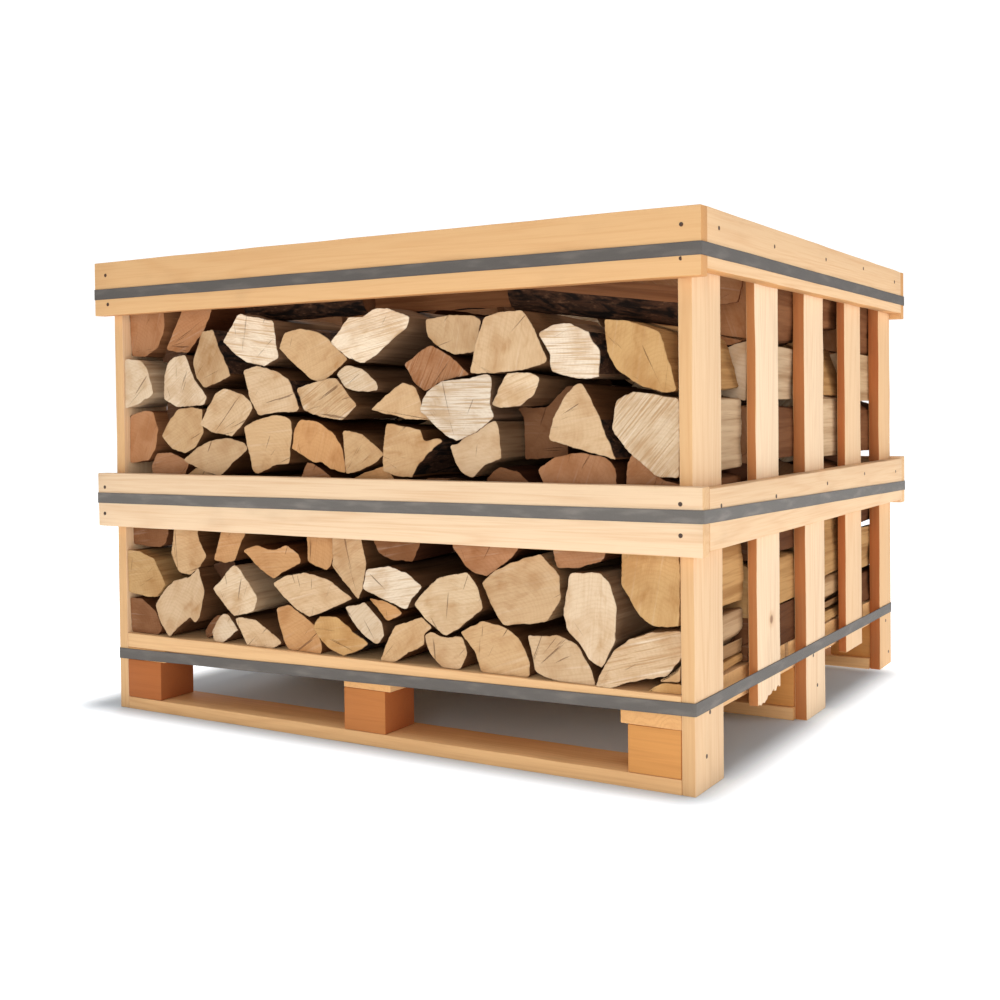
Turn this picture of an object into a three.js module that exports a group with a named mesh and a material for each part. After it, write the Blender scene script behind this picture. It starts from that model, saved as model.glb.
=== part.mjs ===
// Firewood crate: split logs stacked in a slatted crate on its own pallet, held by three flat straps.
// Millimetres, +Z up. Pieces are laid out from the crate's front left corner on the floor, with X along
// the front, Y from front to back and Z up, and the whole crate is then centred on its base.
import * as THREE from 'three';

// Overall size over the front, back and side rails
const LENGTH = 1200;
const DEPTH = 1138;
const HEIGHT = 830;

// Clearance between pieces that touch, and the small chamfer along a sawn board's edges
const GAP = 0.3;
const CHAMFER = 1.2;

// Rails: the front and back ones run full length and cover the ends of the side ones
const RAIL_THICKNESS = 24;
const END_RAIL_HEIGHT = 98;
const SIDE_RAIL_HEIGHT = 87;
const MID_RAIL_TOP = 440;
const SIDE_MID_RAIL_TOP = 436;

// Uprights: thick posts at the corners and centre stand on the floor, thinner slats hang between them,
// the second with a torn foot and the fourth sawn off square
const POST_THICKNESS = 21;
const SLAT_THICKNESS = 15;
const SLAT_WIDTH = 110;
const SLAT_TOP = 826;
const SLAT_FRONTS = [RAIL_THICKNESS + GAP, 282, 531, 777, 1024];
const SLAT_FOOT = 78;
const SPLINTER = 3.5;
const SPLINTERS = 12;

// Pallet, from the floor up
const RUNNER_HEIGHT = 22;
const RUNNER_WIDTH = 95;
const BLOCK_HEIGHT = 70;
const BLOCK_WIDTH = 84;
const STRINGER_HEIGHT = 22;
const STRINGER_WIDTH = 95;
const DECK_THICKNESS = 26;
const DECK_BOARDS = 7;
const DECK_BOARD_WIDTH = 140;

// Straps: heights are of the strap's centre line at the four corners,
// front left, front right, back right, back left
const STRAP_WIDTH = 19;
const STRAP_THICKNESS = 1.5;
const TOP_STRAP_LEVELS = [771, 770, 770, 771];
const MID_STRAP_LEVELS = [394, 399, 378, 376];
const LOW_STRAP_LEVELS = [102, 124, 119, 103];

// Log stack: four rows of logs, one behind the other, each laid in courses
const LOG_LENGTH = 264;
const LOG_ROWS = 4;
const LOG_SIDE_CLEARANCE = 2.5;
const LOGS_ACROSS = 12;
const SEAM_BITE = 11;
const SEAM_GAP = 0.5;
const OUTER_ROW_SEAMS = [288, 438, 590];
const INNER_ROW_SEAMS = [352, 574];
const STACK_TOP = 722;
const BACK_STACK_TOP = 782;
const TOP_TEETH = 8;

// Three logs lie across the front row, under the top rail; the right one slopes down to the right
const CROSS_LOG_LENGTH = 266;
const CROSS_LOG_RADIUS = 36;
const CROSS_LOG_SIDES = 8;
const CROSS_LOG_DEPTH = 104;
const CROSS_LOG_LEVEL = 768;
const CROSS_LOG_STARTS = [300, 574];
const SLOPED_LOG_START = 852;
const SLOPED_LOG_LENGTH = 284;
const SLOPED_LOG_LEVEL = 738;
const SLOPED_LOG_FALL = 40;

// Levels and inner faces worked out from the sizes above
const BLOCK_BASE = RUNNER_HEIGHT + GAP;
const STRINGER_BASE = BLOCK_BASE + BLOCK_HEIGHT + GAP;
const DECK_BASE = STRINGER_BASE + STRINGER_HEIGHT + GAP;
const DECK_TOP = DECK_BASE + DECK_THICKNESS;
const SLAT_FACE = RAIL_THICKNESS + GAP;
const PALLET_LEFT = SLAT_FACE + POST_THICKNESS + GAP;
const PALLET_RIGHT = LENGTH - PALLET_LEFT;
const PALLET_FRONT = RAIL_THICKNESS + GAP;
const PALLET_BACK = DEPTH - PALLET_FRONT;

const pine = { color: 0xdfb883, roughness: 0.7, metalness: 0 };
const block = { color: 0xb5733a, roughness: 0.8, metalness: 0 };
const logWood = { color: 0xcbaa7c, roughness: 0.85, metalness: 0 };
const barkedLog = { color: 0x4d3626, roughness: 0.95, metalness: 0 };
const webbing = { color: 0x6b6c70, roughness: 0.6, metalness: 0 };

const X_AXIS = new THREE.Vector3(1, 0, 0);
const Y_AXIS = new THREE.Vector3(0, 1, 0);
const Z_AXIS = new THREE.Vector3(0, 0, 1);

const crate = new THREE.Group();

// Adds one named piece, with a material of its own, at a place in the crate
function addPiece(name, geometry, finish, position) {
  const mesh = new THREE.Mesh(geometry, new THREE.MeshStandardMaterial(finish));
  mesh.name = name;
  mesh.position.copy(position);
  crate.add(mesh);
  return mesh;
}

// Extrudes a closed outline so that its own x, y and depth run along the three given axes
function prism(points, depth, across, up, along) {
  const shape = new THREE.Shape(points.map(([a, b]) => new THREE.Vector2(a, b)));
  const geometry = new THREE.ExtrudeGeometry(shape, { depth, bevelEnabled: false });
  geometry.applyMatrix4(new THREE.Matrix4().makeBasis(across, up, along));
  return geometry;
}

// A chamfered rectangle centred on the origin
function boardSection(width, height) {
  const w = width / 2;
  const h = height / 2;
  const c = CHAMFER;
  return [
    [-w + c, -h],
    [w - c, -h],
    [w, -h + c],
    [w, h - c],
    [w - c, h],
    [-w + c, h],
    [-w, h - c],
    [-w, -h + c],
  ];
}

// A sawn board or block between two corners, its long edges chamfered
function addBoard(name, finish, [x0, x1], [y0, y1], [z0, z1]) {
  const size = new THREE.Vector3(x1 - x0, y1 - y0, z1 - z0);
  const longest = Math.max(size.x, size.y, size.z);
  let geometry;
  if (longest === size.x) {
    geometry = prism(boardSection(size.y, size.z), size.x, Y_AXIS, Z_AXIS, X_AXIS);
    geometry.translate(-size.x / 2, 0, 0);
  } else if (longest === size.y) {
    geometry = prism(boardSection(size.z, size.x), size.y, Z_AXIS, X_AXIS, Y_AXIS);
    geometry.translate(0, -size.y / 2, 0);
  } else {
    geometry = prism(boardSection(size.x, size.y), size.z, X_AXIS, Y_AXIS, Z_AXIS);
    geometry.translate(0, 0, -size.z / 2);
  }
  const centre = new THREE.Vector3((x0 + x1) / 2, (y0 + y1) / 2, (z0 + z1) / 2);
  return addPiece(name, geometry, finish, centre);
}

// The front and back rails, one at the top and one at mid height on each face
function addEndRails() {
  const faces = { front: [0, RAIL_THICKNESS], back: [DEPTH - RAIL_THICKNESS, DEPTH] };
  const tops = { top: HEIGHT, mid: MID_RAIL_TOP };
  for (const [face, span] of Object.entries(faces)) {
    for (const [level, top] of Object.entries(tops)) {
      addBoard(`${face}_${level}_rail`, pine, [0, LENGTH], span, [top - END_RAIL_HEIGHT, top]);
    }
  }
}

// The side rails fit between the front and back rails
function addSideRails() {
  const faces = { left: [0, RAIL_THICKNESS], right: [LENGTH - RAIL_THICKNESS, LENGTH] };
  const tops = { top: HEIGHT, mid: SIDE_MID_RAIL_TOP };
  const run = [RAIL_THICKNESS + GAP, DEPTH - RAIL_THICKNESS - GAP];
  for (const [face, span] of Object.entries(faces)) {
    for (const [level, top] of Object.entries(tops)) {
      addBoard(`${face}_${level}_rail`, pine, span, run, [top - SIDE_RAIL_HEIGHT, top]);
    }
  }
}

// The torn slat's outline, seen from the side: square at the top, in splinters at the foot
function tornOutline(front, width) {
  const points = [[front + width, SLAT_TOP], [front, SLAT_TOP]];
  for (let i = 0; i <= SPLINTERS; i += 1) {
    const z = SLAT_FOOT + SPLINTER * (i % 2) + SPLINTER * Math.sin(i * 1.9);
    points.push([front + (width * i) / SPLINTERS, z]);
  }
  return points;
}

// Where a piece of the given thickness stands across the crate, against the side rail's inner face
function againstRail(side, thickness) {
  const inner = SLAT_FACE + thickness;
  return side === 'left' ? [SLAT_FACE, inner] : [LENGTH - inner, LENGTH - SLAT_FACE];
}

// Five uprights on each side: posts and slats in turn, nailed inside the side rails
function addUprights(side) {
  SLAT_FRONTS.forEach((front, index) => {
    const width = Math.min(SLAT_WIDTH, PALLET_BACK - front);
    const run = [front, front + width];
    const post = index % 2 === 0;
    const torn = index === 1;
    const name = `${side}_${post ? 'post' : 'slat'}_${index + 1}`;
    const span = againstRail(side, post ? POST_THICKNESS : SLAT_THICKNESS);
    if (torn) {
      const outline = tornOutline(front, width);
      const geometry = prism(outline, SLAT_THICKNESS, Y_AXIS, Z_AXIS, X_AXIS);
      addPiece(name, geometry, pine, new THREE.Vector3(span[0], 0, 0));
    } else {
      addBoard(name, pine, span, run, [post ? 0 : SLAT_FOOT, SLAT_TOP]);
    }
  });
}

// Where the three blocks, runners or stringers of one line start, across a span
function threeStarts(low, high, width) {
  return [low, (low + high - width) / 2, high - width];
}

// The pallet: runners along X, blocks on them, stringers along Y, then deck boards along X
function addPallet() {
  const fronts = threeStarts(PALLET_FRONT, PALLET_BACK, RUNNER_WIDTH);
  const blockFronts = threeStarts(PALLET_FRONT, PALLET_BACK, BLOCK_WIDTH);
  const lefts = threeStarts(PALLET_LEFT, PALLET_RIGHT, STRINGER_WIDTH);
  const blockLefts = [PALLET_LEFT, lefts[1], PALLET_RIGHT - BLOCK_WIDTH];
  const places = ['front', 'middle', 'back'];
  const columns = ['left', 'centre', 'right'];
  const across = [PALLET_LEFT, PALLET_RIGHT];

  places.forEach((place, j) => {
    const run = [fronts[j], fronts[j] + RUNNER_WIDTH];
    addBoard(`${place}_runner`, pine, across, run, [0, RUNNER_HEIGHT]);
    columns.forEach((column, i) => {
      const x = [blockLefts[i], blockLefts[i] + BLOCK_WIDTH];
      const y = [blockFronts[j], blockFronts[j] + BLOCK_WIDTH];
      const z = [BLOCK_BASE, BLOCK_BASE + BLOCK_HEIGHT];
      addBoard(`block_${place}_${column}`, block, x, y, z);
    });
  });

  columns.forEach((column, i) => {
    const x = [lefts[i], lefts[i] + STRINGER_WIDTH];
    const z = [STRINGER_BASE, STRINGER_BASE + STRINGER_HEIGHT];
    addBoard(`${column}_stringer`, pine, x, [PALLET_FRONT, PALLET_BACK], z);
  });

  const pitch = (PALLET_BACK - PALLET_FRONT - DECK_BOARD_WIDTH) / (DECK_BOARDS - 1);
  for (let i = 0; i < DECK_BOARDS; i += 1) {
    const front = PALLET_FRONT + i * pitch;
    const run = [front, front + DECK_BOARD_WIDTH];
    addBoard(`deck_board_${i + 1}`, pine, across, run, [DECK_BASE, DECK_TOP]);
  }
}

// A rectangle with its corners cut off by the given amount, as a closed outline
function cutRectangle(x0, x1, y0, y1, cut) {
  return [
    [x0 + cut, y0],
    [x1 - cut, y0],
    [x1, y0 + cut],
    [x1, y1 - cut],
    [x1 - cut, y1],
    [x0 + cut, y1],
    [x0, y1 - cut],
    [x0, y0 + cut],
  ].map(([x, y]) => new THREE.Vector2(x, y));
}

// A flat strap round a rectangle, its four corners at their own heights
function addStrap(name, x0, x1, y0, y1, levels) {
  const outer = GAP + STRAP_THICKNESS;
  const cut = STRAP_THICKNESS / 2;
  const ring = new THREE.Shape(cutRectangle(x0 - outer, x1 + outer, y0 - outer, y1 + outer, cut));
  const inside = cutRectangle(x0 - GAP, x1 + GAP, y0 - GAP, y1 + GAP, 0);
  const corners = [inside[0], inside[6], inside[4], inside[2]];
  ring.holes.push(new THREE.Path(corners));
  const geometry = new THREE.ExtrudeGeometry(ring, { depth: STRAP_WIDTH, bevelEnabled: false });
  const points = geometry.attributes.position;
  for (let i = 0; i < points.count; i += 1) {
    const u = THREE.MathUtils.clamp((points.getX(i) - x0) / (x1 - x0), 0, 1);
    const v = THREE.MathUtils.clamp((points.getY(i) - y0) / (y1 - y0), 0, 1);
    const front = levels[0] * (1 - u) + levels[1] * u;
    const back = levels[3] * (1 - u) + levels[2] * u;
    const level = front * (1 - v) + back * v;
    points.setZ(i, points.getZ(i) - STRAP_WIDTH / 2 + level);
  }
  geometry.computeVertexNormals();
  addPiece(name, geometry, webbing, new THREE.Vector3(0, 0, 0));
}

// One toothed line across the stack, where one course of logs lies on the next
function seam(level, bite, phase) {
  const left = PALLET_LEFT + LOG_SIDE_CLEARANCE;
  const right = PALLET_RIGHT - LOG_SIDE_CLEARANCE;
  const steps = LOGS_ACROSS * 2;
  const points = [];
  for (let i = 0; i <= steps; i += 1) {
    const x = left + ((right - left) * i) / steps;
    const tooth = bite * ((i + phase) % 2 === 0 ? 1 : -1);
    points.push([x, level(x) + tooth]);
  }
  return points;
}

// The top of the front row drops at the right, where the sloping cross log lies on it
function frontRowTop(x) {
  if (x < SLOPED_LOG_START - CROSS_LOG_RADIUS) {
    return STACK_TOP - TOP_TEETH;
  }
  const fall = (SLOPED_LOG_FALL * (x - SLOPED_LOG_START)) / SLOPED_LOG_LENGTH;
  return SLOPED_LOG_LEVEL - CROSS_LOG_RADIUS - TOP_TEETH - 4 - fall;
}

// One row of logs seen from the front: a solid for each course, out to the logs' own ends
function addLogRow(row) {
  const outerRow = row === 0 || row === LOG_ROWS - 1;
  const levels = outerRow ? OUTER_ROW_SEAMS : INNER_ROW_SEAMS;
  const roof = row === 0 ? frontRowTop : () => BACK_STACK_TOP;
  const seams = [
    seam(() => DECK_TOP + SEAM_GAP, 0, 0),
    ...levels.map((level, i) => seam(() => level, SEAM_BITE, i + row)),
    seam(roof, TOP_TEETH, row),
  ];
  const pitch = (PALLET_BACK - PALLET_FRONT - 2 * LOG_SIDE_CLEARANCE - LOG_LENGTH) / (LOG_ROWS - 1);
  const front = PALLET_FRONT + LOG_SIDE_CLEARANCE + row * pitch;
  for (let i = 0; i < seams.length - 1; i += 1) {
    const low = seams[i].map(([x, z]) => [x, z + SEAM_GAP]);
    const high = seams[i + 1].map(([x, z]) => [x, z - SEAM_GAP]).reverse();
    const geometry = prism([...low, ...high], LOG_LENGTH, X_AXIS, Z_AXIS, Y_AXIS.clone().negate());
    const place = new THREE.Vector3(0, front + LOG_LENGTH, 0);
    addPiece(`logs_row_${row + 1}_course_${i + 1}`, geometry, logWood, place);
  }
}

// A round log lying along X, its outline a polygon with a flat underneath
function addCrossLog(name, start, length, level, slope) {
  const points = [];
  for (let i = 0; i < CROSS_LOG_SIDES; i += 1) {
    const angle = (2 * Math.PI * (i + 0.5)) / CROSS_LOG_SIDES;
    points.push([CROSS_LOG_RADIUS * Math.cos(angle), CROSS_LOG_RADIUS * Math.sin(angle)]);
  }
  const geometry = prism(points, length, Y_AXIS, Z_AXIS, X_AXIS);
  const place = new THREE.Vector3(start, CROSS_LOG_DEPTH, level);
  const log = addPiece(name, geometry, barkedLog, place);
  log.rotation.y = slope;
}

function addCrossLogs() {
  CROSS_LOG_STARTS.forEach((start, i) => {
    addCrossLog(`cross_log_${i + 1}`, start, CROSS_LOG_LENGTH, CROSS_LOG_LEVEL, 0);
  });
  const slope = Math.asin(SLOPED_LOG_FALL / SLOPED_LOG_LENGTH);
  addCrossLog('cross_log_3', SLOPED_LOG_START, SLOPED_LOG_LENGTH, SLOPED_LOG_LEVEL, slope);
}

addEndRails();
addSideRails();
addUprights('left');
addUprights('right');
addPallet();
addStrap('top_strap', 0, LENGTH, 0, DEPTH, TOP_STRAP_LEVELS);
addStrap('mid_strap', 0, LENGTH, 0, DEPTH, MID_STRAP_LEVELS);
addStrap('low_strap', SLAT_FACE, LENGTH - SLAT_FACE, PALLET_FRONT, PALLET_BACK, LOW_STRAP_LEVELS);
for (let row = 0; row < LOG_ROWS; row += 1) {
  addLogRow(row);
}
addCrossLogs();

// The crate's origin is the centre of its base
const group = new THREE.Group();
group.name = 'firewood_crate';
crate.position.set(-LENGTH / 2, -DEPTH / 2, 0);
group.add(crate);

export default group;
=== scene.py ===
"""A slatted wooden crate on its own pallet, filled with split logs and held by three flat straps.

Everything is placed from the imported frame. Logs are drawn in millimetres from the crate's front left floor
corner, with X to the right along the front, Y to the back and Z up.
"""
import logging
import math
from contextlib import contextmanager
from dataclasses import dataclass, field, replace
from enum import Enum
from random import Random
from typing import Any, Callable, Iterator, Sequence

import bmesh
import bpy
from mathutils import Matrix, Vector, noise


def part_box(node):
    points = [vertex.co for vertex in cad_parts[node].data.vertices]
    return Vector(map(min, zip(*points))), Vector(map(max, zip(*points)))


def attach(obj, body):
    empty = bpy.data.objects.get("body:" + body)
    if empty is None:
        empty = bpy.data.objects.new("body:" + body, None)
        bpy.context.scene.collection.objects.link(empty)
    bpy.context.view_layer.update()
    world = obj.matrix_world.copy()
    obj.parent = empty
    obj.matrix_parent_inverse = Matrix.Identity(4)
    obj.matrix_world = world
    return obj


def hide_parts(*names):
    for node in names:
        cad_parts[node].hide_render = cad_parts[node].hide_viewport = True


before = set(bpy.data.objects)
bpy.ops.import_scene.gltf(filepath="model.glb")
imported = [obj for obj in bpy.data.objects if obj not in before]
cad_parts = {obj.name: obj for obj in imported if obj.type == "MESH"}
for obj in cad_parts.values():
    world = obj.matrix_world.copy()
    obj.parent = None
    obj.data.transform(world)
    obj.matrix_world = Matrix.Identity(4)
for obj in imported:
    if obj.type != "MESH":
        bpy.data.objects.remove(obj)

LOG = logging.getLogger("firewood_crate")
NOISE_SEED = 7
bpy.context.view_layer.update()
MM = 0.001
CORNER = Vector((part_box("front_top_rail")[0].x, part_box("front_top_rail")[0].y, 0.0))
CRATE_WIDTH = (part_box("front_top_rail")[1].x - CORNER.x) / MM

# Logs keep between the posts and on the deck, with a hair's breadth to spare, in millimetres.
POST_GAP = 0.8
DECK_GAP = 0.6
INNER_LEFT = (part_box("left_post_1")[1].x - CORNER.x) / MM + POST_GAP
DECK_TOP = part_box("deck_board_1")[1].z / MM + DECK_GAP

# The front row's corners were measured from EYE on an upright plane at MEASURED_AT, a little behind the log
# ends, which stand at about ENDS_AT. Scaling them about the eye brings them to where the ends are.
EYE = Vector((1.2662, -2.2254, 0.5532))
EYE_IN_CRATE = (EYE - CORNER) / MM
MEASURED_AT = 45.0
ENDS_AT = 29.0
TO_THE_ENDS = (ENDS_AT - EYE_IN_CRATE.y) / (MEASURED_AT - EYE_IN_CRATE.y)

# A corner drawn lower than RESTING_BELOW rests on the deck. A log whose middle is above TOP_COURSE lies in
# the top course of a rear row, where it is seen from above.
RESTING_BELOW = 144.0
TOP_COURSE = 725.0

TOUCHING = 1e-5
BEVEL_ANGLE = math.radians(50)
END_ON = 0.9
NAME_START = 3
SEED_LIMIT = 1000
GOLDEN_SHARE = 0.618
STARTER = 0.03
ROW_SEED = 100

# The order in which a log's three finishes are handed over, and how nearly along it a sawn end faces
END_FINISH, SIDE_FINISH, BARK_FINISH = range(3)
SAWN_FACE = 0.75

# Waves reach their full depth a quarter of the way along a log, and act as if it were at least this thick
WAVES_START = 4
SLIMMEST = 0.02

Outline = tuple[tuple[float, float], ...]
Colour = tuple[float, float, float, float]
Stretch = tuple[float, float, float]
Span = tuple[float, float]


def paint(red: int, green: int, blue: int) -> Colour:
    """Returns a screen colour of 0 to 255 as the linear colour that a socket takes."""
    linear = [((c / 255 + 0.055) / 1.055) ** 2.4 if c > 10 else c / 255 / 12.92 for c in (red, green, blue)]
    return (linear[0], linear[1], linear[2], 1.0)


def crate_point(x: float, y: float, z: float) -> Vector:
    """Returns a point given in crate millimetres in the row frame, in metres."""
    return CORNER + Vector((x, y, z)) * MM


class Axis(Enum):
    """The direction in which a board's grain runs."""

    X = 0
    Y = 1
    Z = 2


class Tone(Enum):
    """The colours of freshly split and seasoned log ends; RUDDY, BROWN and DARK are partly the wood's own
    colour and partly painted shade, for ends that stand back or lie under the top rail.
    """

    WHITE = paint(236, 215, 188)
    CREAM = paint(223, 195, 160)
    PALE = paint(214, 181, 142)
    TAN = paint(207, 170, 127)
    GOLD = paint(203, 161, 108)
    ORANGE = paint(204, 154, 104)
    RUDDY = paint(182, 130, 90)
    BROWN = paint(136, 92, 60)
    DARK = paint(92, 62, 42)


# ---------------------------------------------------------------- shader arithmetic


class Wire:
    """A node's output socket that takes part in arithmetic."""

    def __init__(self, recipe: "Recipe", socket: bpy.types.NodeSocket) -> None:
        """Keeps the socket and the recipe that it belongs to."""
        self.recipe = recipe
        self.socket = socket

    def _math(self, operation: str, other: Any, swapped: bool = False) -> "Wire":
        """Adds one Math node.

        Args:
            operation: the Math node's operation.
            other: the second value, a Wire or a number.
            swapped: whether the other value comes first.

        Returns:
            The node's result.
        """
        first, second = (other, self) if swapped else (self, other)
        return self.recipe.node("ShaderNodeMath", {"operation": operation}, {0: first, 1: second})

    def __add__(self, other: Any) -> "Wire":
        """Adds."""
        return self._math("ADD", other)

    __radd__ = __add__

    def __sub__(self, other: Any) -> "Wire":
        """Subtracts."""
        return self._math("SUBTRACT", other)

    def __rsub__(self, other: Any) -> "Wire":
        """Subtracts this from a number."""
        return self._math("SUBTRACT", other, swapped=True)

    def __mul__(self, other: Any) -> "Wire":
        """Multiplies."""
        return self._math("MULTIPLY", other)

    __rmul__ = __mul__

    def __truediv__(self, other: Any) -> "Wire":
        """Divides."""
        return self._math("DIVIDE", other)

    def __pow__(self, other: Any) -> "Wire":
        """Raises to a power."""
        return self._math("POWER", other)

    def sine(self) -> "Wire":
        """Returns the sine, moved to 0 to 1."""
        return self._math("SINE", 0.0) * 0.5 + 0.5

    def size(self) -> "Wire":
        """Returns the value without its sign."""
        return self._math("ABSOLUTE", 0.0)

    def at_least(self, floor: float) -> "Wire":
        """Returns the value, or the floor where that is greater."""
        return self._math("MAXIMUM", floor)

    def step(self, start: float, end: float) -> "Wire":
        """Returns a smooth step from 0 at start to 1 at end."""
        return self.recipe.node(
            "ShaderNodeMapRange",
            {"interpolation_type": "SMOOTHSTEP"},
            {"Value": self, "From Min": start, "From Max": end},
        )


class Recipe:
    """A material being written: its nodes, and the Principled shader at their end."""

    def __init__(self, name: str) -> None:
        """Starts an empty material of that name."""
        self.material = bpy.data.materials.new(name)
        self.material.use_nodes = True
        self.tree = self.material.node_tree
        self.tree.nodes.clear()
        self.surface = self.tree.nodes.new("ShaderNodeBsdfPrincipled")
        output = self.tree.nodes.new("ShaderNodeOutputMaterial")
        self.tree.links.new(self.surface.outputs[0], output.inputs[0])

    def node(
        self,
        kind: str,
        settings: dict[str, Any] | None = None,
        inputs: dict[Any, Any] | None = None,
        out: Any = 0,
    ) -> Wire:
        """Adds any node.

        Args:
            kind: the node's type.
            settings: its settings, set before its sockets.
            inputs: the values or wires of its sockets, by name or number.
            out: the output to return, by name or number.

        Returns:
            The chosen output.
        """
        made = self.tree.nodes.new(kind)
        for key, value in (settings or {}).items():
            setattr(made, key, value)
        self.feed(made, inputs or {})
        return Wire(self, made.outputs[out])

    def feed(self, made: bpy.types.Node, inputs: dict[Any, Any]) -> None:
        """Sets or links a node's sockets, by name or number."""
        for key, value in inputs.items():
            if isinstance(value, Wire):
                self.tree.links.new(value.socket, made.inputs[key])
            else:
                made.inputs[key].default_value = value

    def attribute(self, name: str, out: str = "Vector") -> Wire:
        """Reads one of the piece's own attributes."""
        return self.node("ShaderNodeAttribute", {"attribute_name": name}, out=out)

    def stretch(self, vector: Wire, scale: Sequence[float]) -> Wire:
        """Multiplies a vector by a scale for each axis."""
        return self.node("ShaderNodeVectorMath", {"operation": "MULTIPLY"}, {0: vector, 1: scale})

    def noise(self, vector: Wire, scale: float, detail: float = 4.0, distortion: float = 0.0) -> Wire:
        """Adds a Noise Texture and returns its value."""
        inputs = {"Vector": vector, "Scale": scale, "Detail": detail, "Distortion": distortion}
        return self.node("ShaderNodeTexNoise", {}, inputs)

    def mix(self, factor: Any, first: Any, second: Any, mode: str = "MIX") -> Wire:
        """Mixes two colours by a factor."""
        settings = {"data_type": "RGBA", "blend_type": mode, "clamp_factor": True}
        return self.node("ShaderNodeMix", settings, {0: factor, 6: first, 7: second}, out=2)

    def bump(self, height: Wire, strength: float, distance: float) -> Wire:
        """Turns a height into a normal."""
        return self.node("ShaderNodeBump", {}, {"Height": height, "Strength": strength, "Distance": distance})

    def finish(self, colour: Any, roughness: Any, normal: Wire, **constants: float) -> bpy.types.Material:
        """Feeds the shader and returns the finished material.

        Args:
            colour: the base colour.
            roughness: the roughness.
            normal: the bumped normal.
            constants: other Principled sockets, with spaces written as underscores.

        Returns:
            The material.
        """
        self.feed(self.surface, {"Base Color": colour, "Roughness": roughness, "Normal": normal})
        self.feed(self.surface, {key.replace("_", " "): value for key, value in constants.items()})
        return self.material


# ---------------------------------------------------------------- finishes


@dataclass(frozen=True)
class SawnBoard:
    """Planed softwood board: fine lines along the grain, a few knots, and light handling marks."""

    name: str
    fresh: Colour
    seasoned: Colour
    aged: Colour
    line: Colour
    knot: Colour = paint(120, 72, 38)
    dirt: Colour = paint(150, 112, 76)
    contrast: float = 0.38
    roughness: float = 0.72
    figure: Stretch = (0.55, 13.0, 13.0)
    fibres: Stretch = (9.0, 420.0, 420.0)
    patching: Stretch = (3.0, 9.0, 9.0)
    handling: Stretch = (5.0, 14.0, 14.0)
    ring_count: float = 120.0
    ring_sharpness: float = 2.6
    knot_cells: float = 3.1
    knotty_cells: Span = (0.60, 0.64)
    knot_ring: Span = (0.022, 0.062)
    knot_heart: Span = (0.014, 0.030)
    bump_height: float = 0.0008

    def material(self) -> bpy.types.Material:
        """Returns the board's material, which reads its grain and warmth attributes."""
        recipe = Recipe(self.name)
        grain = recipe.attribute("grain")
        warmth = recipe.attribute("warmth", "Fac")
        ground = recipe.mix(warmth - 1.0, recipe.mix(warmth, self.fresh, self.seasoned), self.aged)
        figure = recipe.noise(recipe.stretch(grain, self.figure), 1.0, 2.0, 0.15)
        rings = (figure * self.ring_count).sine() ** self.ring_sharpness
        fibre = recipe.noise(recipe.stretch(grain, self.fibres), 1.0, 3.0)
        patches = recipe.noise(recipe.stretch(grain, self.patching), 1.0, 4.0)
        lined = recipe.mix(rings * self.contrast * patches * 0.8, ground, self.line)
        streaked = recipe.mix(fibre.step(0.42, 0.75) * 0.5 * self.contrast, lined, self.line)
        cells = {"Vector": grain, "Scale": self.knot_cells, "Randomness": 0.9}
        spot = recipe.node("ShaderNodeTexVoronoi", {}, cells)
        lot = recipe.node("ShaderNodeTexVoronoi", {}, cells, out="Color")
        chosen = recipe.node("ShaderNodeSeparateColor", {}, {0: lot}).step(*self.knotty_cells)
        around = (1.0 - spot.step(*self.knot_ring)) * chosen
        heart = (1.0 - spot.step(*self.knot_heart)) * chosen
        knotted = recipe.mix(heart * 0.75, recipe.mix(around * 0.35, streaked, self.line), self.knot)
        grime = recipe.noise(recipe.stretch(grain, self.handling), 1.0, 6.0).step(0.56, 0.8)
        worn = recipe.mix(grime * 0.22, knotted, self.dirt)
        height = fibre * 0.6 + rings * 0.25 + recipe.noise(grain, 260.0, 2.0) * 0.4
        return recipe.finish(worn, self.roughness + fibre * 0.12, recipe.bump(height, 0.35, self.bump_height))


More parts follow.
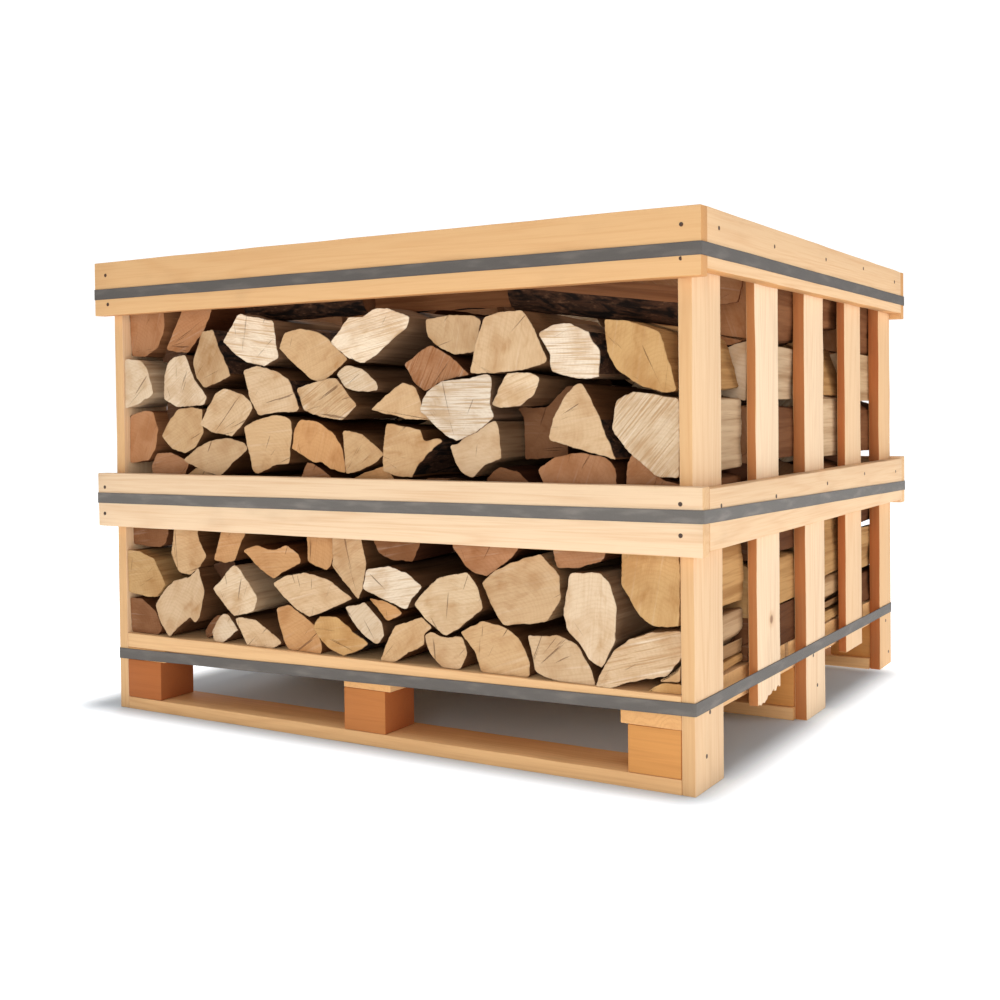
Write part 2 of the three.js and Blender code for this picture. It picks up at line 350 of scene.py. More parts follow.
@dataclass(frozen=True)
class EndGrain:
    """Sawn log end: growth rings round the heart, saw marks, small cracks, and a darker rim."""

    name: str = "sawn_log_end"
    crack: Colour = paint(96, 60, 36)
    darken: Colour = (0.70, 0.56, 0.42, 1.0)
    torn_pale: Colour = paint(248, 233, 212)
    roughness: float = 0.86
    ring_count: float = 980.0
    ring_wander: float = 16.0
    kerfs: Stretch = (330.0, 11.0, 1.0)
    combing: Stretch = (150.0, 6.0, 1.0)
    staining: Stretch = (55.0, 26.0, 1.0)
    check_spread: Stretch = (15.0, 3.0, 9.0)
    bump_height: float = 0.0016

    def material(self) -> bpy.types.Material:
        """Returns the end's material, which reads its heart, saw, tint and rim attributes."""
        recipe = Recipe(self.name)
        heart = recipe.attribute("heart")
        saw = recipe.attribute("saw")
        tint = recipe.attribute("tint", "Color")
        marks = recipe.attribute("tint", "Alpha")
        flat = recipe.stretch(heart, (1.0, 0.0, 1.0))
        wander = recipe.noise(flat, 26.0, 4.0)
        reach = recipe.node("ShaderNodeVectorMath", {"operation": "LENGTH"}, {0: flat}, out="Value")
        rings = (reach * self.ring_count + wander * self.ring_wander).sine() ** 2.0
        x, y, z = (recipe.node("ShaderNodeSeparateXYZ", {}, {0: heart}, out=axis) for axis in "XYZ")
        angle = recipe.node("ShaderNodeMath", {"operation": "ARCTAN2"}, {0: z, 1: x})
        turns, along, out = self.check_spread
        spokes = recipe.node("ShaderNodeCombineXYZ", {}, {0: angle * turns, 1: y * along, 2: reach * out})
        checks = recipe.noise(spokes, 1.0, 2.0).step(0.68, 0.74)
        blotch = recipe.noise(heart, 21.0, 6.0)
        stain = recipe.noise(recipe.stretch(saw, self.staining), 1.0, 5.0, 0.8)
        speck = recipe.noise(heart, 620.0, 2.0)
        kerf = recipe.noise(recipe.stretch(saw, self.kerfs), 1.0, 3.0)
        comb = recipe.noise(recipe.stretch(saw, self.combing), 1.0, 2.0)
        darker = recipe.mix(1.0, tint, self.darken, "MULTIPLY")
        ringed = recipe.mix(rings * 0.09 + speck.step(0.45, 0.75) * 0.16, tint, darker)
        sawn = recipe.mix(kerf.step(0.46, 0.66) * marks, ringed, darker)
        pale = recipe.mix(comb.step(0.55, 0.72) * marks * 0.5, sawn, self.torn_pale)
        mottled = recipe.mix(blotch.step(0.42, 0.70) * 0.6 + stain.step(0.50, 0.78) * 0.5, pale, darker)
        rim = recipe.attribute("rim", "Fac")
        checked = recipe.mix(checks * 0.6, mottled, self.crack)
        edged = recipe.mix(rim ** 1.5 * (0.45 + blotch), checked, self.crack)
        height = kerf * marks * 1.8 + rings * 0.10 + blotch * 0.6 + stain * 0.3 - checks
        normal = recipe.bump(height, 0.8, self.bump_height)
        return recipe.finish(edged, self.roughness, normal, Specular_IOR_Level=0.2)


@dataclass(frozen=True)
class SplitSide:
    """Split log side: long torn fibres in the log's own tint, with painted shade where a side lies deep in
    the stack and painted light where it is lit.
    """

    name: str = "split_log_side"
    # shade is a painted shade of the tint for sides deep in the stack; fresh is painted light for sides that
    # are lit.
    shade: Colour = (0.19, 0.11, 0.065, 1.0)
    fresh: Colour = (1.02, 0.96, 0.88, 1.0)
    hollow: Colour = (0.55, 0.44, 0.34, 1.0)
    roughness: float = 0.84
    fibres: Stretch = (240.0, 7.0, 240.0)
    strands: Stretch = (58.0, 3.0, 58.0)
    bump_height: float = 0.0030

    def material(self) -> bpy.types.Material:
        """Returns the side's material, which reads its heart, tint and side attributes."""
        recipe = Recipe(self.name)
        heart = recipe.attribute("heart")
        tint = recipe.attribute("tint", "Color")
        fibre = recipe.noise(recipe.stretch(heart, self.fibres), 1.0, 4.0)
        strand = recipe.noise(recipe.stretch(heart, self.strands), 1.0, 4.0, 0.4)
        # Painted shade and painted light: the side attribute mixes a shaded copy of the tint with a lit copy.
        dark = recipe.mix(1.0, tint, self.shade, "MULTIPLY")
        fair = recipe.mix(1.0, tint, self.fresh, "MULTIPLY")
        body = recipe.mix(recipe.attribute("side", "Fac"), dark, fair)
        deep = recipe.mix(1.0, body, self.hollow, "MULTIPLY")
        base = recipe.mix(strand.step(0.38, 0.72) * 0.8, body, deep)
        torn = recipe.mix(fibre.step(0.48, 0.74) * 0.5, base, deep)
        height = fibre * 0.5 + strand
        normal = recipe.bump(height, 0.9, self.bump_height)
        return recipe.finish(torn, self.roughness, normal, Specular_IOR_Level=0.12)


@dataclass(frozen=True)
class Bark:
    """Rough furrowed bark with paler scales."""

    name: str = "log_bark"
    furrow: Colour = paint(24, 16, 12)
    ridge: Colour = paint(74, 48, 33)
    scale: Colour = paint(122, 88, 64)
    roughness: float = 0.93
    plates: Stretch = (64.0, 20.0, 64.0)
    crumbs: Stretch = (210.0, 90.0, 210.0)
    bump_height: float = 0.006

    def material(self) -> bpy.types.Material:
        """Returns the bark's material, which reads its heart attribute."""
        recipe = Recipe(self.name)
        heart = recipe.attribute("heart")
        plate = recipe.noise(recipe.stretch(heart, self.plates), 1.0, 6.0, 1.0)
        crumb = recipe.noise(recipe.stretch(heart, self.crumbs), 1.0, 4.0)
        ridge = plate.step(0.36, 0.62)
        ground = recipe.mix(ridge, self.furrow, self.ridge)
        scaled = recipe.mix(crumb.step(0.52, 0.72) * ridge * 0.6, ground, self.scale)
        height = plate * 1.2 + crumb * 0.4
        normal = recipe.bump(height, 1.0, self.bump_height)
        return recipe.finish(scaled, self.roughness, normal, Specular_IOR_Level=0.15)


@dataclass(frozen=True)
class Webbing:
    """Flat woven strapping: fine lengthwise cords, darker at the edges, with a slight dull sheen."""

    name: str = "grey_webbing"
    cord: Colour = paint(133, 127, 119)
    gap: Colour = paint(80, 74, 69)
    dust: Colour = paint(156, 146, 136)
    # The dark colour that each strap is darkened towards, by its own amount.
    grime: Colour = paint(58, 50, 46)
    roughness: float = 0.6
    cord_pitch: float = 1.1 * MM
    half_width: float = 9.5 * MM
    threads: Stretch = (420.0, 900.0, 1.0)
    wearing: Stretch = (14.0, 60.0, 1.0)
    bump_height: float = 0.0004

    def material(self) -> bpy.types.Material:
        """Returns the strap's material, which reads its run and soil attributes."""
        recipe = Recipe(self.name)
        run = recipe.attribute("run")
        across = recipe.node("ShaderNodeSeparateXYZ", {}, {0: run}, out="Y")
        cords = (across * (2 * math.pi / self.cord_pitch)).sine()
        thread = recipe.noise(recipe.stretch(run, self.threads), 1.0, 2.0)
        wear = recipe.noise(recipe.stretch(run, self.wearing), 1.0, 4.0)
        border = ((across / self.half_width) ** 2.0).step(0.62, 1.0)
        woven = recipe.mix(cords * 0.45 + thread * 0.25, self.gap, self.cord)
        dusty = recipe.mix(wear.step(0.45, 0.75) * 0.4, woven, self.dust)
        bordered = recipe.mix(border * 0.55, dusty, self.gap)
        # Darkens each strap by its own set amount.
        edged = recipe.mix(recipe.attribute("strap_darkening", "Fac"), bordered, self.grime)
        height = cords * 0.6 + thread * 0.5
        return recipe.finish(edged, self.roughness, recipe.bump(height, 0.5, self.bump_height))


@dataclass(frozen=True)
class NailSteel:
    """Driven nail head, dull and rust-marked."""

    name: str = "nail_steel"
    steel: Colour = paint(74, 62, 54)
    rust: Colour = paint(104, 62, 36)
    roughness: float = 0.55

    def material(self) -> bpy.types.Material:
        """Returns the nail head's material."""
        recipe = Recipe(self.name)
        place = recipe.node("ShaderNodeTexCoord", out="Object")
        stain = recipe.noise(place, 380.0, 3.0)
        colour = recipe.mix(stain.step(0.4, 0.7), self.steel, self.rust)
        return recipe.finish(colour, self.roughness, recipe.bump(stain, 0.3, 0.0003), Metallic=0.4)


@dataclass(frozen=True)
class StudioFloor:
    """Plain pale floor that glows white a little way out from the crate: painted light, which leaves a dark
    patch round the crate as painted shadow.

    Attributes:
        name: the material's name.
        tone: the floor's colour.
        middle: the middle of the unlit patch under the crate, the painted shadow, in metres.
        half_sizes: half the painted shadow's width and depth.
        glow_start: how far outside the patch the glow begins.
        glow_end: how far outside it the glow is full.
        dark: the glow inside the patch.
        white: the glow far from it.
    """

    name: str = "studio_floor"
    tone: Colour = (0.60, 0.67, 0.74, 1.0)
    middle: Span = (-0.03, -0.06)
    half_sizes: Span = (0.58, 0.47)
    glow_start: float = 0.0
    glow_end: float = 0.11
    dark: Colour = (0.0, 0.0, 0.0, 1.0)
    white: Colour = (1.0, 1.0, 1.0, 1.0)

    def material(self) -> bpy.types.Material:
        """Returns the floor's material, which glows brighter away from the crate as painted light, as a lit
        sweep does, and stays dark round it as painted shadow.
        """
        recipe = Recipe(self.name)
        place = recipe.node("ShaderNodeTexCoord", out="Object")
        outside = []
        for axis, half, centre in zip("XY", self.half_sizes, self.middle):
            across = recipe.node("ShaderNodeSeparateXYZ", {}, {0: place}, out=axis) - centre
            outside.append((across.size() - half).at_least(0.0))
        reach = (outside[0] ** 2.0 + outside[1] ** 2.0) ** 0.5
        # Painted light: emission whitens the floor outside the patch, whose dark stands in for the crate's
        # shadow.
        glow = recipe.mix(reach.step(self.glow_start, self.glow_end), self.dark, self.white)
        recipe.feed(recipe.surface, {"Emission Color": glow})
        grain = recipe.bump(recipe.noise(place, 30.0), 0.02, 0.0005)
        return recipe.finish(self.tone, 0.9, grain, Emission_Strength=1.0)


# ---------------------------------------------------------------- bench tools


def only(piece: bpy.types.Object) -> None:
    """Selects one object alone and makes it active."""
    bpy.ops.object.select_all(action="DESELECT")
    piece.select_set(True)
    bpy.context.view_layer.objects.active = piece


@contextmanager
def edit_mode(piece: bpy.types.Object) -> Iterator[None]:
    """Opens a piece in edit mode, with nothing in it selected, and closes it again."""
    only(piece)
    bpy.ops.object.mode_set(mode="EDIT")
    bpy.ops.mesh.select_all(action="DESELECT")
    try:
        yield
    finally:
        bpy.ops.object.mode_set(mode="OBJECT")


def live_mesh(piece: bpy.types.Object) -> bmesh.types.BMesh:
    """Returns the open mesh of a piece in edit mode, with its tables ready."""
    mesh = bmesh.from_edit_mesh(piece.data)
    mesh.verts.ensure_lookup_table()
    mesh.faces.ensure_lookup_table()
    return mesh


def choose_edges(piece: bpy.types.Object, wanted: Callable[[bmesh.types.BMEdge], bool]) -> None:
    """Selects the edges of a piece in edit mode for which wanted is true."""
    mesh = live_mesh(piece)
    bpy.ops.mesh.select_mode(type="EDGE")
    bpy.ops.mesh.select_all(action="DESELECT")
    for edge in mesh.edges:
        edge.select_set(wanted(edge))
    bmesh.update_edit_mesh(piece.data)


def choose_faces(piece: bpy.types.Object, wanted: Callable[[bmesh.types.BMFace], bool]) -> None:
    """Selects the faces of a piece in edit mode for which wanted is true."""
    mesh = live_mesh(piece)
    bpy.ops.mesh.select_mode(type="FACE")
    bpy.ops.mesh.select_all(action="DESELECT")
    for face in mesh.faces:
        face.select_set(wanted(face))
    bmesh.update_edit_mesh(piece.data)


def cube_between(name: str, low: Vector, high: Vector) -> bpy.types.Object:
    """Adds a block between two corners, with its place in its mesh.

    Args:
        name: the new object's name.
        low: its lowest corner, in the row frame.
        high: its highest corner.

    Returns:
        The new object, at the origin and unscaled.
    """
    bpy.ops.object.select_all(action="DESELECT")
    bpy.ops.mesh.primitive_cube_add(size=1.0, location=(low + high) / 2, scale=high - low)
    piece = bpy.context.object
    piece.name = name
    piece.data.name = name
    bpy.ops.object.transform_apply(location=True, rotation=True, scale=True)
    return piece


def apply_modifier(piece: bpy.types.Object, kind: str, **settings: Any) -> None:
    """Adds a modifier to a piece with those settings and applies it."""
    only(piece)
    modifier = piece.modifiers.new(kind.lower(), kind)
    for key, value in settings.items():
        setattr(modifier, key, value)
    bpy.ops.object.modifier_apply(modifier=modifier.name)


def bevel(piece: bpy.types.Object, width: float, segments: int) -> None:
    """Eases a piece's sharp edges."""
    apply_modifier(
        piece, "BEVEL", width=width, segments=segments, limit_method="ANGLE", angle_limit=BEVEL_ANGLE
    )


def smooth(piece: bpy.types.Object, degrees: float = 35.0) -> None:
    """Shades a piece smooth, except across edges sharper than an angle."""
    only(piece)
    bpy.ops.object.shade_smooth_by_angle(angle=math.radians(degrees))


def write_attribute(piece: bpy.types.Object, name: str, kind: str, key: str, values: Sequence[float]) -> None:
    """Writes one attribute of a piece's points from a flat list of values."""
    layer = piece.data.attributes.new(name, kind, "POINT")
    layer.data.foreach_set(key, values)


def hand_over(piece: bpy.types.Object, slot: str, *nodes: str) -> None:
    """Lets a piece ride with the crate and stands it in for its CAD nodes."""
    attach(piece, "root")
    if nodes:
        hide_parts(*nodes)
    stands_for = ", ".join(nodes) or "trim"
    LOG.info("%s: %d faces, stands for %s", piece.name, len(piece.data.polygons), stands_for)


# ---------------------------------------------------------------- boards


@dataclass
class BoardMaker:
    """Makes sawn boards in place of CAD boards, each with its own grain and slightly uneven edges.

    Attributes:
        edge: how wide a board's eased edges are.
        ripple: how far a point may stray from the flat face.
        cut_spacing: the distance between the cuts across a board.
        grain_drift: how far apart in the pattern two boards may start.
        edge_shade: painted shade: how much more golden and darker the narrow faces that look to the front or
            down are painted, as shade falls on them.
        end_gold: how much more golden the two end faces are.
        facing: how nearly a face must look along an axis to count as an edge or an end.
    """

    edge: float = 1.3 * MM
    ripple: float = 0.7 * MM
    cut_spacing: float = 70.0 * MM
    grain_drift: float = 37.0
    edge_shade: float = 1.7
    end_gold: float = 0.45
    facing: float = 0.7

    def make(
        self, node: str, along: Axis, material: bpy.types.Material, slot: str, warmth: float = 0.5
    ) -> bpy.types.Object:
        """Makes the board that stands for one CAD node.

        Args:
            node: the CAD node's name.
            along: the grain's direction.
            material: the board's finish.
            slot: the material slot's name; it is not used.
            warmth: from 0, fresh and pale, through 1, golden, to 2, aged.

        Returns:
            The finished board.
        """
        low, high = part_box(node)
        piece = cube_between("wood_" + node, low, high)
        seed = sum(ord(letter) * place for place, letter in enumerate(node, start=NAME_START))
        self.roughen(piece, along, (high - low)[along.value], seed)
        self.tear(piece, low, high)
        bevel(piece, self.edge, 2)
        smooth(piece)
        self.write_grain(piece, along, low, warmth, seed)
        piece.data.materials.append(material)
        hand_over(piece, slot, node)
        return piece

    def roughen(self, piece: bpy.types.Object, along: Axis, length: float, seed: int) -> None:
        """Cuts a board across at even steps and moves its corners a little, as a saw leaves them."""
        with edit_mode(piece):
            choose_edges(piece, lambda e: abs((e.verts[0].co - e.verts[1].co)[along.value]) > END_ON * length)
            bpy.ops.mesh.subdivide(number_cuts=max(1, round(length / self.cut_spacing)))
            bpy.ops.mesh.select_all(action="SELECT")
            lot = seed % SEED_LIMIT
            bpy.ops.transform.vertex_random(offset=self.ripple, uniform=0.0, normal=0.0, seed=lot)

    def tear(self, piece: bpy.types.Object, low: Vector, high: Vector) -> None:
        """Leaves boards whole; a maker of torn boards overrides this."""

    def write_grain(
        self, piece: bpy.types.Object, along: Axis, low: Vector, warmth: float, seed: int
    ) -> None:
        """Writes where each point lies along, across and through the board, and how golden it is, with
        painted shade on the narrow faces that look to the front or down.

        Args:
            piece: the board.
            along: the grain's direction.
            low: the board's lowest corner.
            warmth: how golden its wide faces are.
            seed: the board's own number, which sets where its pattern starts.
        """
        first = along.value
        second, third = [axis for axis in (0, 1, 2) if axis != first]
        drift = (seed * GOLDEN_SHARE) % self.grain_drift
        grain: list[float] = []
        for vertex in piece.data.vertices:
            local = vertex.co - low
            grain += [local[first] + drift, local[second] + drift, local[third]]
        write_attribute(piece, "grain", "FLOAT_VECTOR", "vector", grain)
        span = [max(v.co[axis] for v in piece.data.vertices) - low[axis] for axis in (0, 1, 2)]
        narrow = second if span[second] > span[third] else third
        widest = [0.0] * len(piece.data.vertices)
        warm = [warmth] * len(piece.data.vertices)
        for face in piece.data.polygons:
            # Painted shade: narrow faces that look to the front or down are pushed towards the aged colour by
            # edge_shade.
            golden = warmth + self.edge_shade if face.normal[narrow] < -self.facing else warmth
            if abs(face.normal[first]) > self.facing:
                golden = warmth + self.end_gold
            for index in face.vertices:
                if face.area > widest[index]:
                    widest[index] = face.area
                    warm[index] = golden
        write_attribute(piece, "warmth", "FLOAT", "value", warm)


@dataclass
class TornBoardMaker(BoardMaker):
    """Makes a slat whose foot is broken off unevenly."""

    cuts_across: int = 19
    chance_seed: int = 41
    splinter: float = 1.5
    broad: float = 0.05
    rise: tuple[float, ...] = (2.0, 1.0, 0.0, 1.5, 1.0, 4.0, 9.0, 6.0, 12.0, 15.0, 8.0, 14.0, 17.0, 11.0)

    def tear(self, piece: bpy.types.Object, low: Vector, high: Vector) -> None:
        """Divides the slat's foot across its width and lifts its points along the broken line."""
        chance = Random(self.chance_seed)
        with edit_mode(piece):
            foot = low.z + 2 * self.ripple
            choose_edges(
                piece,
                lambda e: max(v.co.z for v in e.verts) < foot
                and abs((e.verts[0].co - e.verts[1].co).y) > self.broad,
            )
            bpy.ops.mesh.subdivide(number_cuts=self.cuts_across)
            for vertex in live_mesh(piece).verts:
                if vertex.co.z < foot:
                    place = (vertex.co.y - low.y) / (high.y - low.y) * (len(self.rise) - 1)
                    before = min(int(max(place, 0.0)), len(self.rise) - 2)
                    lift = self.rise[before] + (self.rise[before + 1] - self.rise[before]) * (place - before)
                    vertex.co.z += (lift + chance.uniform(-self.splinter, self.splinter)) * MM
            bmesh.update_edit_mesh(piece.data)


@dataclass
class CrateFrame:
    """The crate's rails, posts and slats."""

    uprights: BoardMaker = field(default_factory=BoardMaker)
    # The rails' lower faces get less painted shade, and the corner posts' front edges, which stand in the
    # light, get less still.
    rails: BoardMaker = field(default_factory=lambda: BoardMaker(edge_shade=0.6))
    corner_posts: BoardMaker = field(default_factory=lambda: BoardMaker(edge_shade=0.35))
    torn: TornBoardMaker = field(default_factory=TornBoardMaker)
    front_warmth: float = 0.82
    mid_paler: float = 0.62
    side_warmth: float = 0.55
    side_share: float = 0.25
    upright_warmth: tuple[float, ...] = (0.42, 0.03, 0.15, 0.42, 0.65)

    def build(self, finish: bpy.types.Material) -> None:
        """Builds every rail, post and slat with one finish."""
        for height in ("top", "mid"):
            paler = self.mid_paler if height == "mid" else 0.0
            for face in ("front", "back"):
                warmth = self.front_warmth - paler
                self.rails.make(f"{face}_{height}_rail", Axis.X, finish, "frame_board", warmth)
            for face in ("left", "right"):
                warmth = self.side_warmth - paler * self.side_share
                self.rails.make(f"{face}_{height}_rail", Axis.Y, finish, "frame_board", warmth)
        for face in ("left", "right"):
            for number, warmth in enumerate(self.upright_warmth, start=1):
                kind = "post" if number % 2 else "slat"
                maker = {1: self.corner_posts, 2: self.torn}.get(number, self.uprights)
                maker.make(f"{face}_{kind}_{number}", Axis.Z, finish, "frame_board", warmth)


@dataclass
class Pallet:
    """The crate's pallet: runners, blocks, stringers and deck boards."""

    boards: BoardMaker = field(default_factory=lambda: BoardMaker(edge_shade=0.0))
    blocks: BoardMaker = field(
        default_factory=lambda: BoardMaker(edge=1.6 * MM, ripple=0.4 * MM, edge_shade=0.0)
    )
    rows: tuple[str, ...] = ("front", "middle", "back")
    columns: tuple[str, ...] = ("left", "centre", "right")
    deck_boards: int = 7
    runner_warmth: float = 0.75
    block_warmths: tuple[float, ...] = (0.95, 0.70, 0.10)
    stringer_warmth: float = 0.7
    deck_warmth: float = 0.6

    def build(self, board_finish: bpy.types.Material, block_finish: bpy.types.Material) -> None:
        """Builds the pallet from the floor up."""
        for row in self.rows:
            self.boards.make(f"{row}_runner", Axis.X, board_finish, "pallet_board", self.runner_warmth)
            for column, warmth in zip(self.columns, self.block_warmths):
                self.blocks.make(f"block_{row}_{column}", Axis.X, block_finish, "block_wood", warmth)
        for column in self.columns:
            self.boards.make(f"{column}_stringer", Axis.Y, board_finish, "pallet_board", self.stringer_warmth)
        for number in range(1, self.deck_boards + 1):
            self.boards.make(f"deck_board_{number}", Axis.X, board_finish, "pallet_board", self.deck_warmth)


# ---------------------------------------------------------------- straps


@dataclass
class Strapping:
    """Three taut flat straps round the crate, held against its boards all the way round."""

    width: float = 19.0 * MM
    thickness: float = 1.4 * MM
    clearance: float = 0.35 * MM
    bend: float = 3.0 * MM
    bend_steps: int = 4
    pieces_per_side: int = 12
    sway: float = 0.25
    sway_steps: int = 97
    sway_rate: float = 14.0
    sway_start: float = 3.0
    name_seed: int = 7
    smooth_below: float = 50.0
    top_heights: tuple[float, ...] = (771.0, 770.0, 770.0, 771.0)
    mid_heights: tuple[float, ...] = (394.0, 399.0, 378.0, 376.0)
    low_heights: tuple[float, ...] = (102.0, 124.0, 119.0, 103.0)
    # How much darker each strap is: the top one most, the low one less, the middle one not at all.
    strap_darkening: tuple[float, ...] = (0.42, 0.0, 0.22)

    def build(self, finish: bpy.types.Material) -> None:
        """Builds the top, middle and low straps."""
        rails = (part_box("front_top_rail"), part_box("back_top_rail"))
        posts = (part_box("left_post_1"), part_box("right_post_5"))
        for name, held, heights, strap_darkening in (
            ("top_strap", rails, self.top_heights, self.strap_darkening[0]),
            ("mid_strap", rails, self.mid_heights, self.strap_darkening[1]),
            ("low_strap", posts, self.low_heights, self.strap_darkening[2]),
        ):
            low = Vector([min(box[0][axis] for box in held) for axis in range(3)])
            high = Vector([max(box[1][axis] for box in held) for axis in range(3)])
            piece = self.make(name, low, high, [height * MM for height in heights])
            write_attribute(piece, "strap_darkening", "FLOAT", "value", [strap_darkening] * len(piece.data.vertices))
            piece.data.materials.append(finish)
            hand_over(piece, "webbing", name)

    def make(self, name: str, low: Vector, high: Vector, heights: Sequence[float]) -> bpy.types.Object:
        """Makes one strap.

        Args:
            name: the CAD node that it stands for.
            low: the lowest corner of the boards that it goes round.
            high: their highest corner.
            heights: the strap's middle at the front left, front right, back right and back left corners.

        Returns:
            The strap, still without its finish.
        """
        gap = Vector((self.clearance, self.clearance, 0.0))
        start = Vector((low.x, low.y, 0.0)) - gap
        end = Vector((high.x, high.y, self.width)) + gap
        piece = cube_between("webbing_" + name, start, end)
        with edit_mode(piece):
            choose_faces(piece, lambda face: abs(face.normal.z) > END_ON)
            bpy.ops.mesh.delete(type="FACE")
            choose_edges(piece, lambda edge: abs((edge.verts[0].co - edge.verts[1].co).z) < TOUCHING)
            bpy.ops.mesh.subdivide(number_cuts=self.pieces_per_side)
            corners = (start.x, end.x), (start.y, end.y)
            choose_edges(piece, lambda edge: self.on_corner(edge, corners))
            bpy.ops.mesh.bevel(offset=self.bend, segments=self.bend_steps, affect="EDGES")
        front_left, front_right, back_right, back_left = heights
        run: list[float] = []
        middle = self.width / 2
        chance = Random(len(name) * self.name_seed)
        sway = [chance.uniform(-self.sway, self.sway) * MM for _ in range(self.sway_steps)]
        for vertex in piece.data.vertices:
            across = (vertex.co.x - start.x) / (end.x - start.x)
            back = (vertex.co.y - start.y) / (end.y - start.y)
            front_height = front_left + (front_right - front_left) * across
            back_height = back_left + (back_right - back_left) * across
            line = front_height + (back_height - front_height) * back
            line += sway[int((vertex.co.x + vertex.co.y + self.sway_start) * self.sway_rate) % len(sway)]
            vertex.co.z += line - middle
            run += [vertex.co.x + vertex.co.y, math.copysign(middle, vertex.co.z - line), 0.0]
        write_attribute(piece, "run", "FLOAT_VECTOR", "vector", run)
        apply_modifier(piece, "SOLIDIFY", thickness=self.thickness, offset=1.0)
        smooth(piece, self.smooth_below)
        return piece

    def on_corner(self, edge: bmesh.types.BMEdge, corners: tuple[tuple[float, float], ...]) -> bool:
        """Says whether an edge is one of the band's four upright corners."""
        for axis, places in enumerate(corners):
            if min(abs(edge.verts[0].co[axis] - place) for place in places) > TOUCHING:
                return False
            if min(abs(edge.verts[1].co[axis] - place) for place in places) > TOUCHING:
                return False
        return True


# ---------------------------------------------------------------- logs


@dataclass(frozen=True)
class Billet:
    """One split log, by the corners of its sawn end in crate millimetres.

    Attributes:
        corners: the corners across and up, in order round the end.
        tone: the colour of its wood, partly painted shade for the darker tones of ends that stand back.
        recess: how far its end stands back from the row's front.
        saw: the direction of its saw marks, in degrees up from the X axis.
        marks: how strong the saw marks are, from 0 to 1.
        bark: the first and last corner of its barked side.
        lit_side: how lit its long sides are painted, from 0, painted shade, to 1, painted light, where it
            differs from its neighbours.
    """

    corners: Outline
    tone: Tone
    recess: float = 6.0
    saw: float = 10.0
    marks: float = 0.25
    bark: tuple[int, int] | None = None
    lit_side: float | None = None

    def laid(self) -> "Billet":
        """Returns the log at its true size and place, between the posts and on the deck."""
        corners = []
        for x, z in self.corners:
            across = EYE_IN_CRATE.x + (x - EYE_IN_CRATE.x) * TO_THE_ENDS
            up = EYE_IN_CRATE.z + (z - EYE_IN_CRATE.z) * TO_THE_ENDS
            resting = DECK_TOP if z < RESTING_BELOW else up
            corners.append((min(max(across, INNER_LEFT), CRATE_WIDTH - INNER_LEFT), resting))
        return replace(self, corners=tuple(corners))

    def centre(self) -> tuple[float, float]:
        """Returns the middle of the corners, across and up."""
        across = sum(x for x, _ in self.corners) / len(self.corners)
        up = sum(z for _, z in self.corners) / len(self.corners)
        return across, up

    def mirrored(self, width: float) -> "Billet":
        """Returns the log seen from the crate's other side."""
        flipped = tuple((width - x, z) for x, z in self.corners)
        return replace(self, corners=flipped, saw=180 - self.saw)
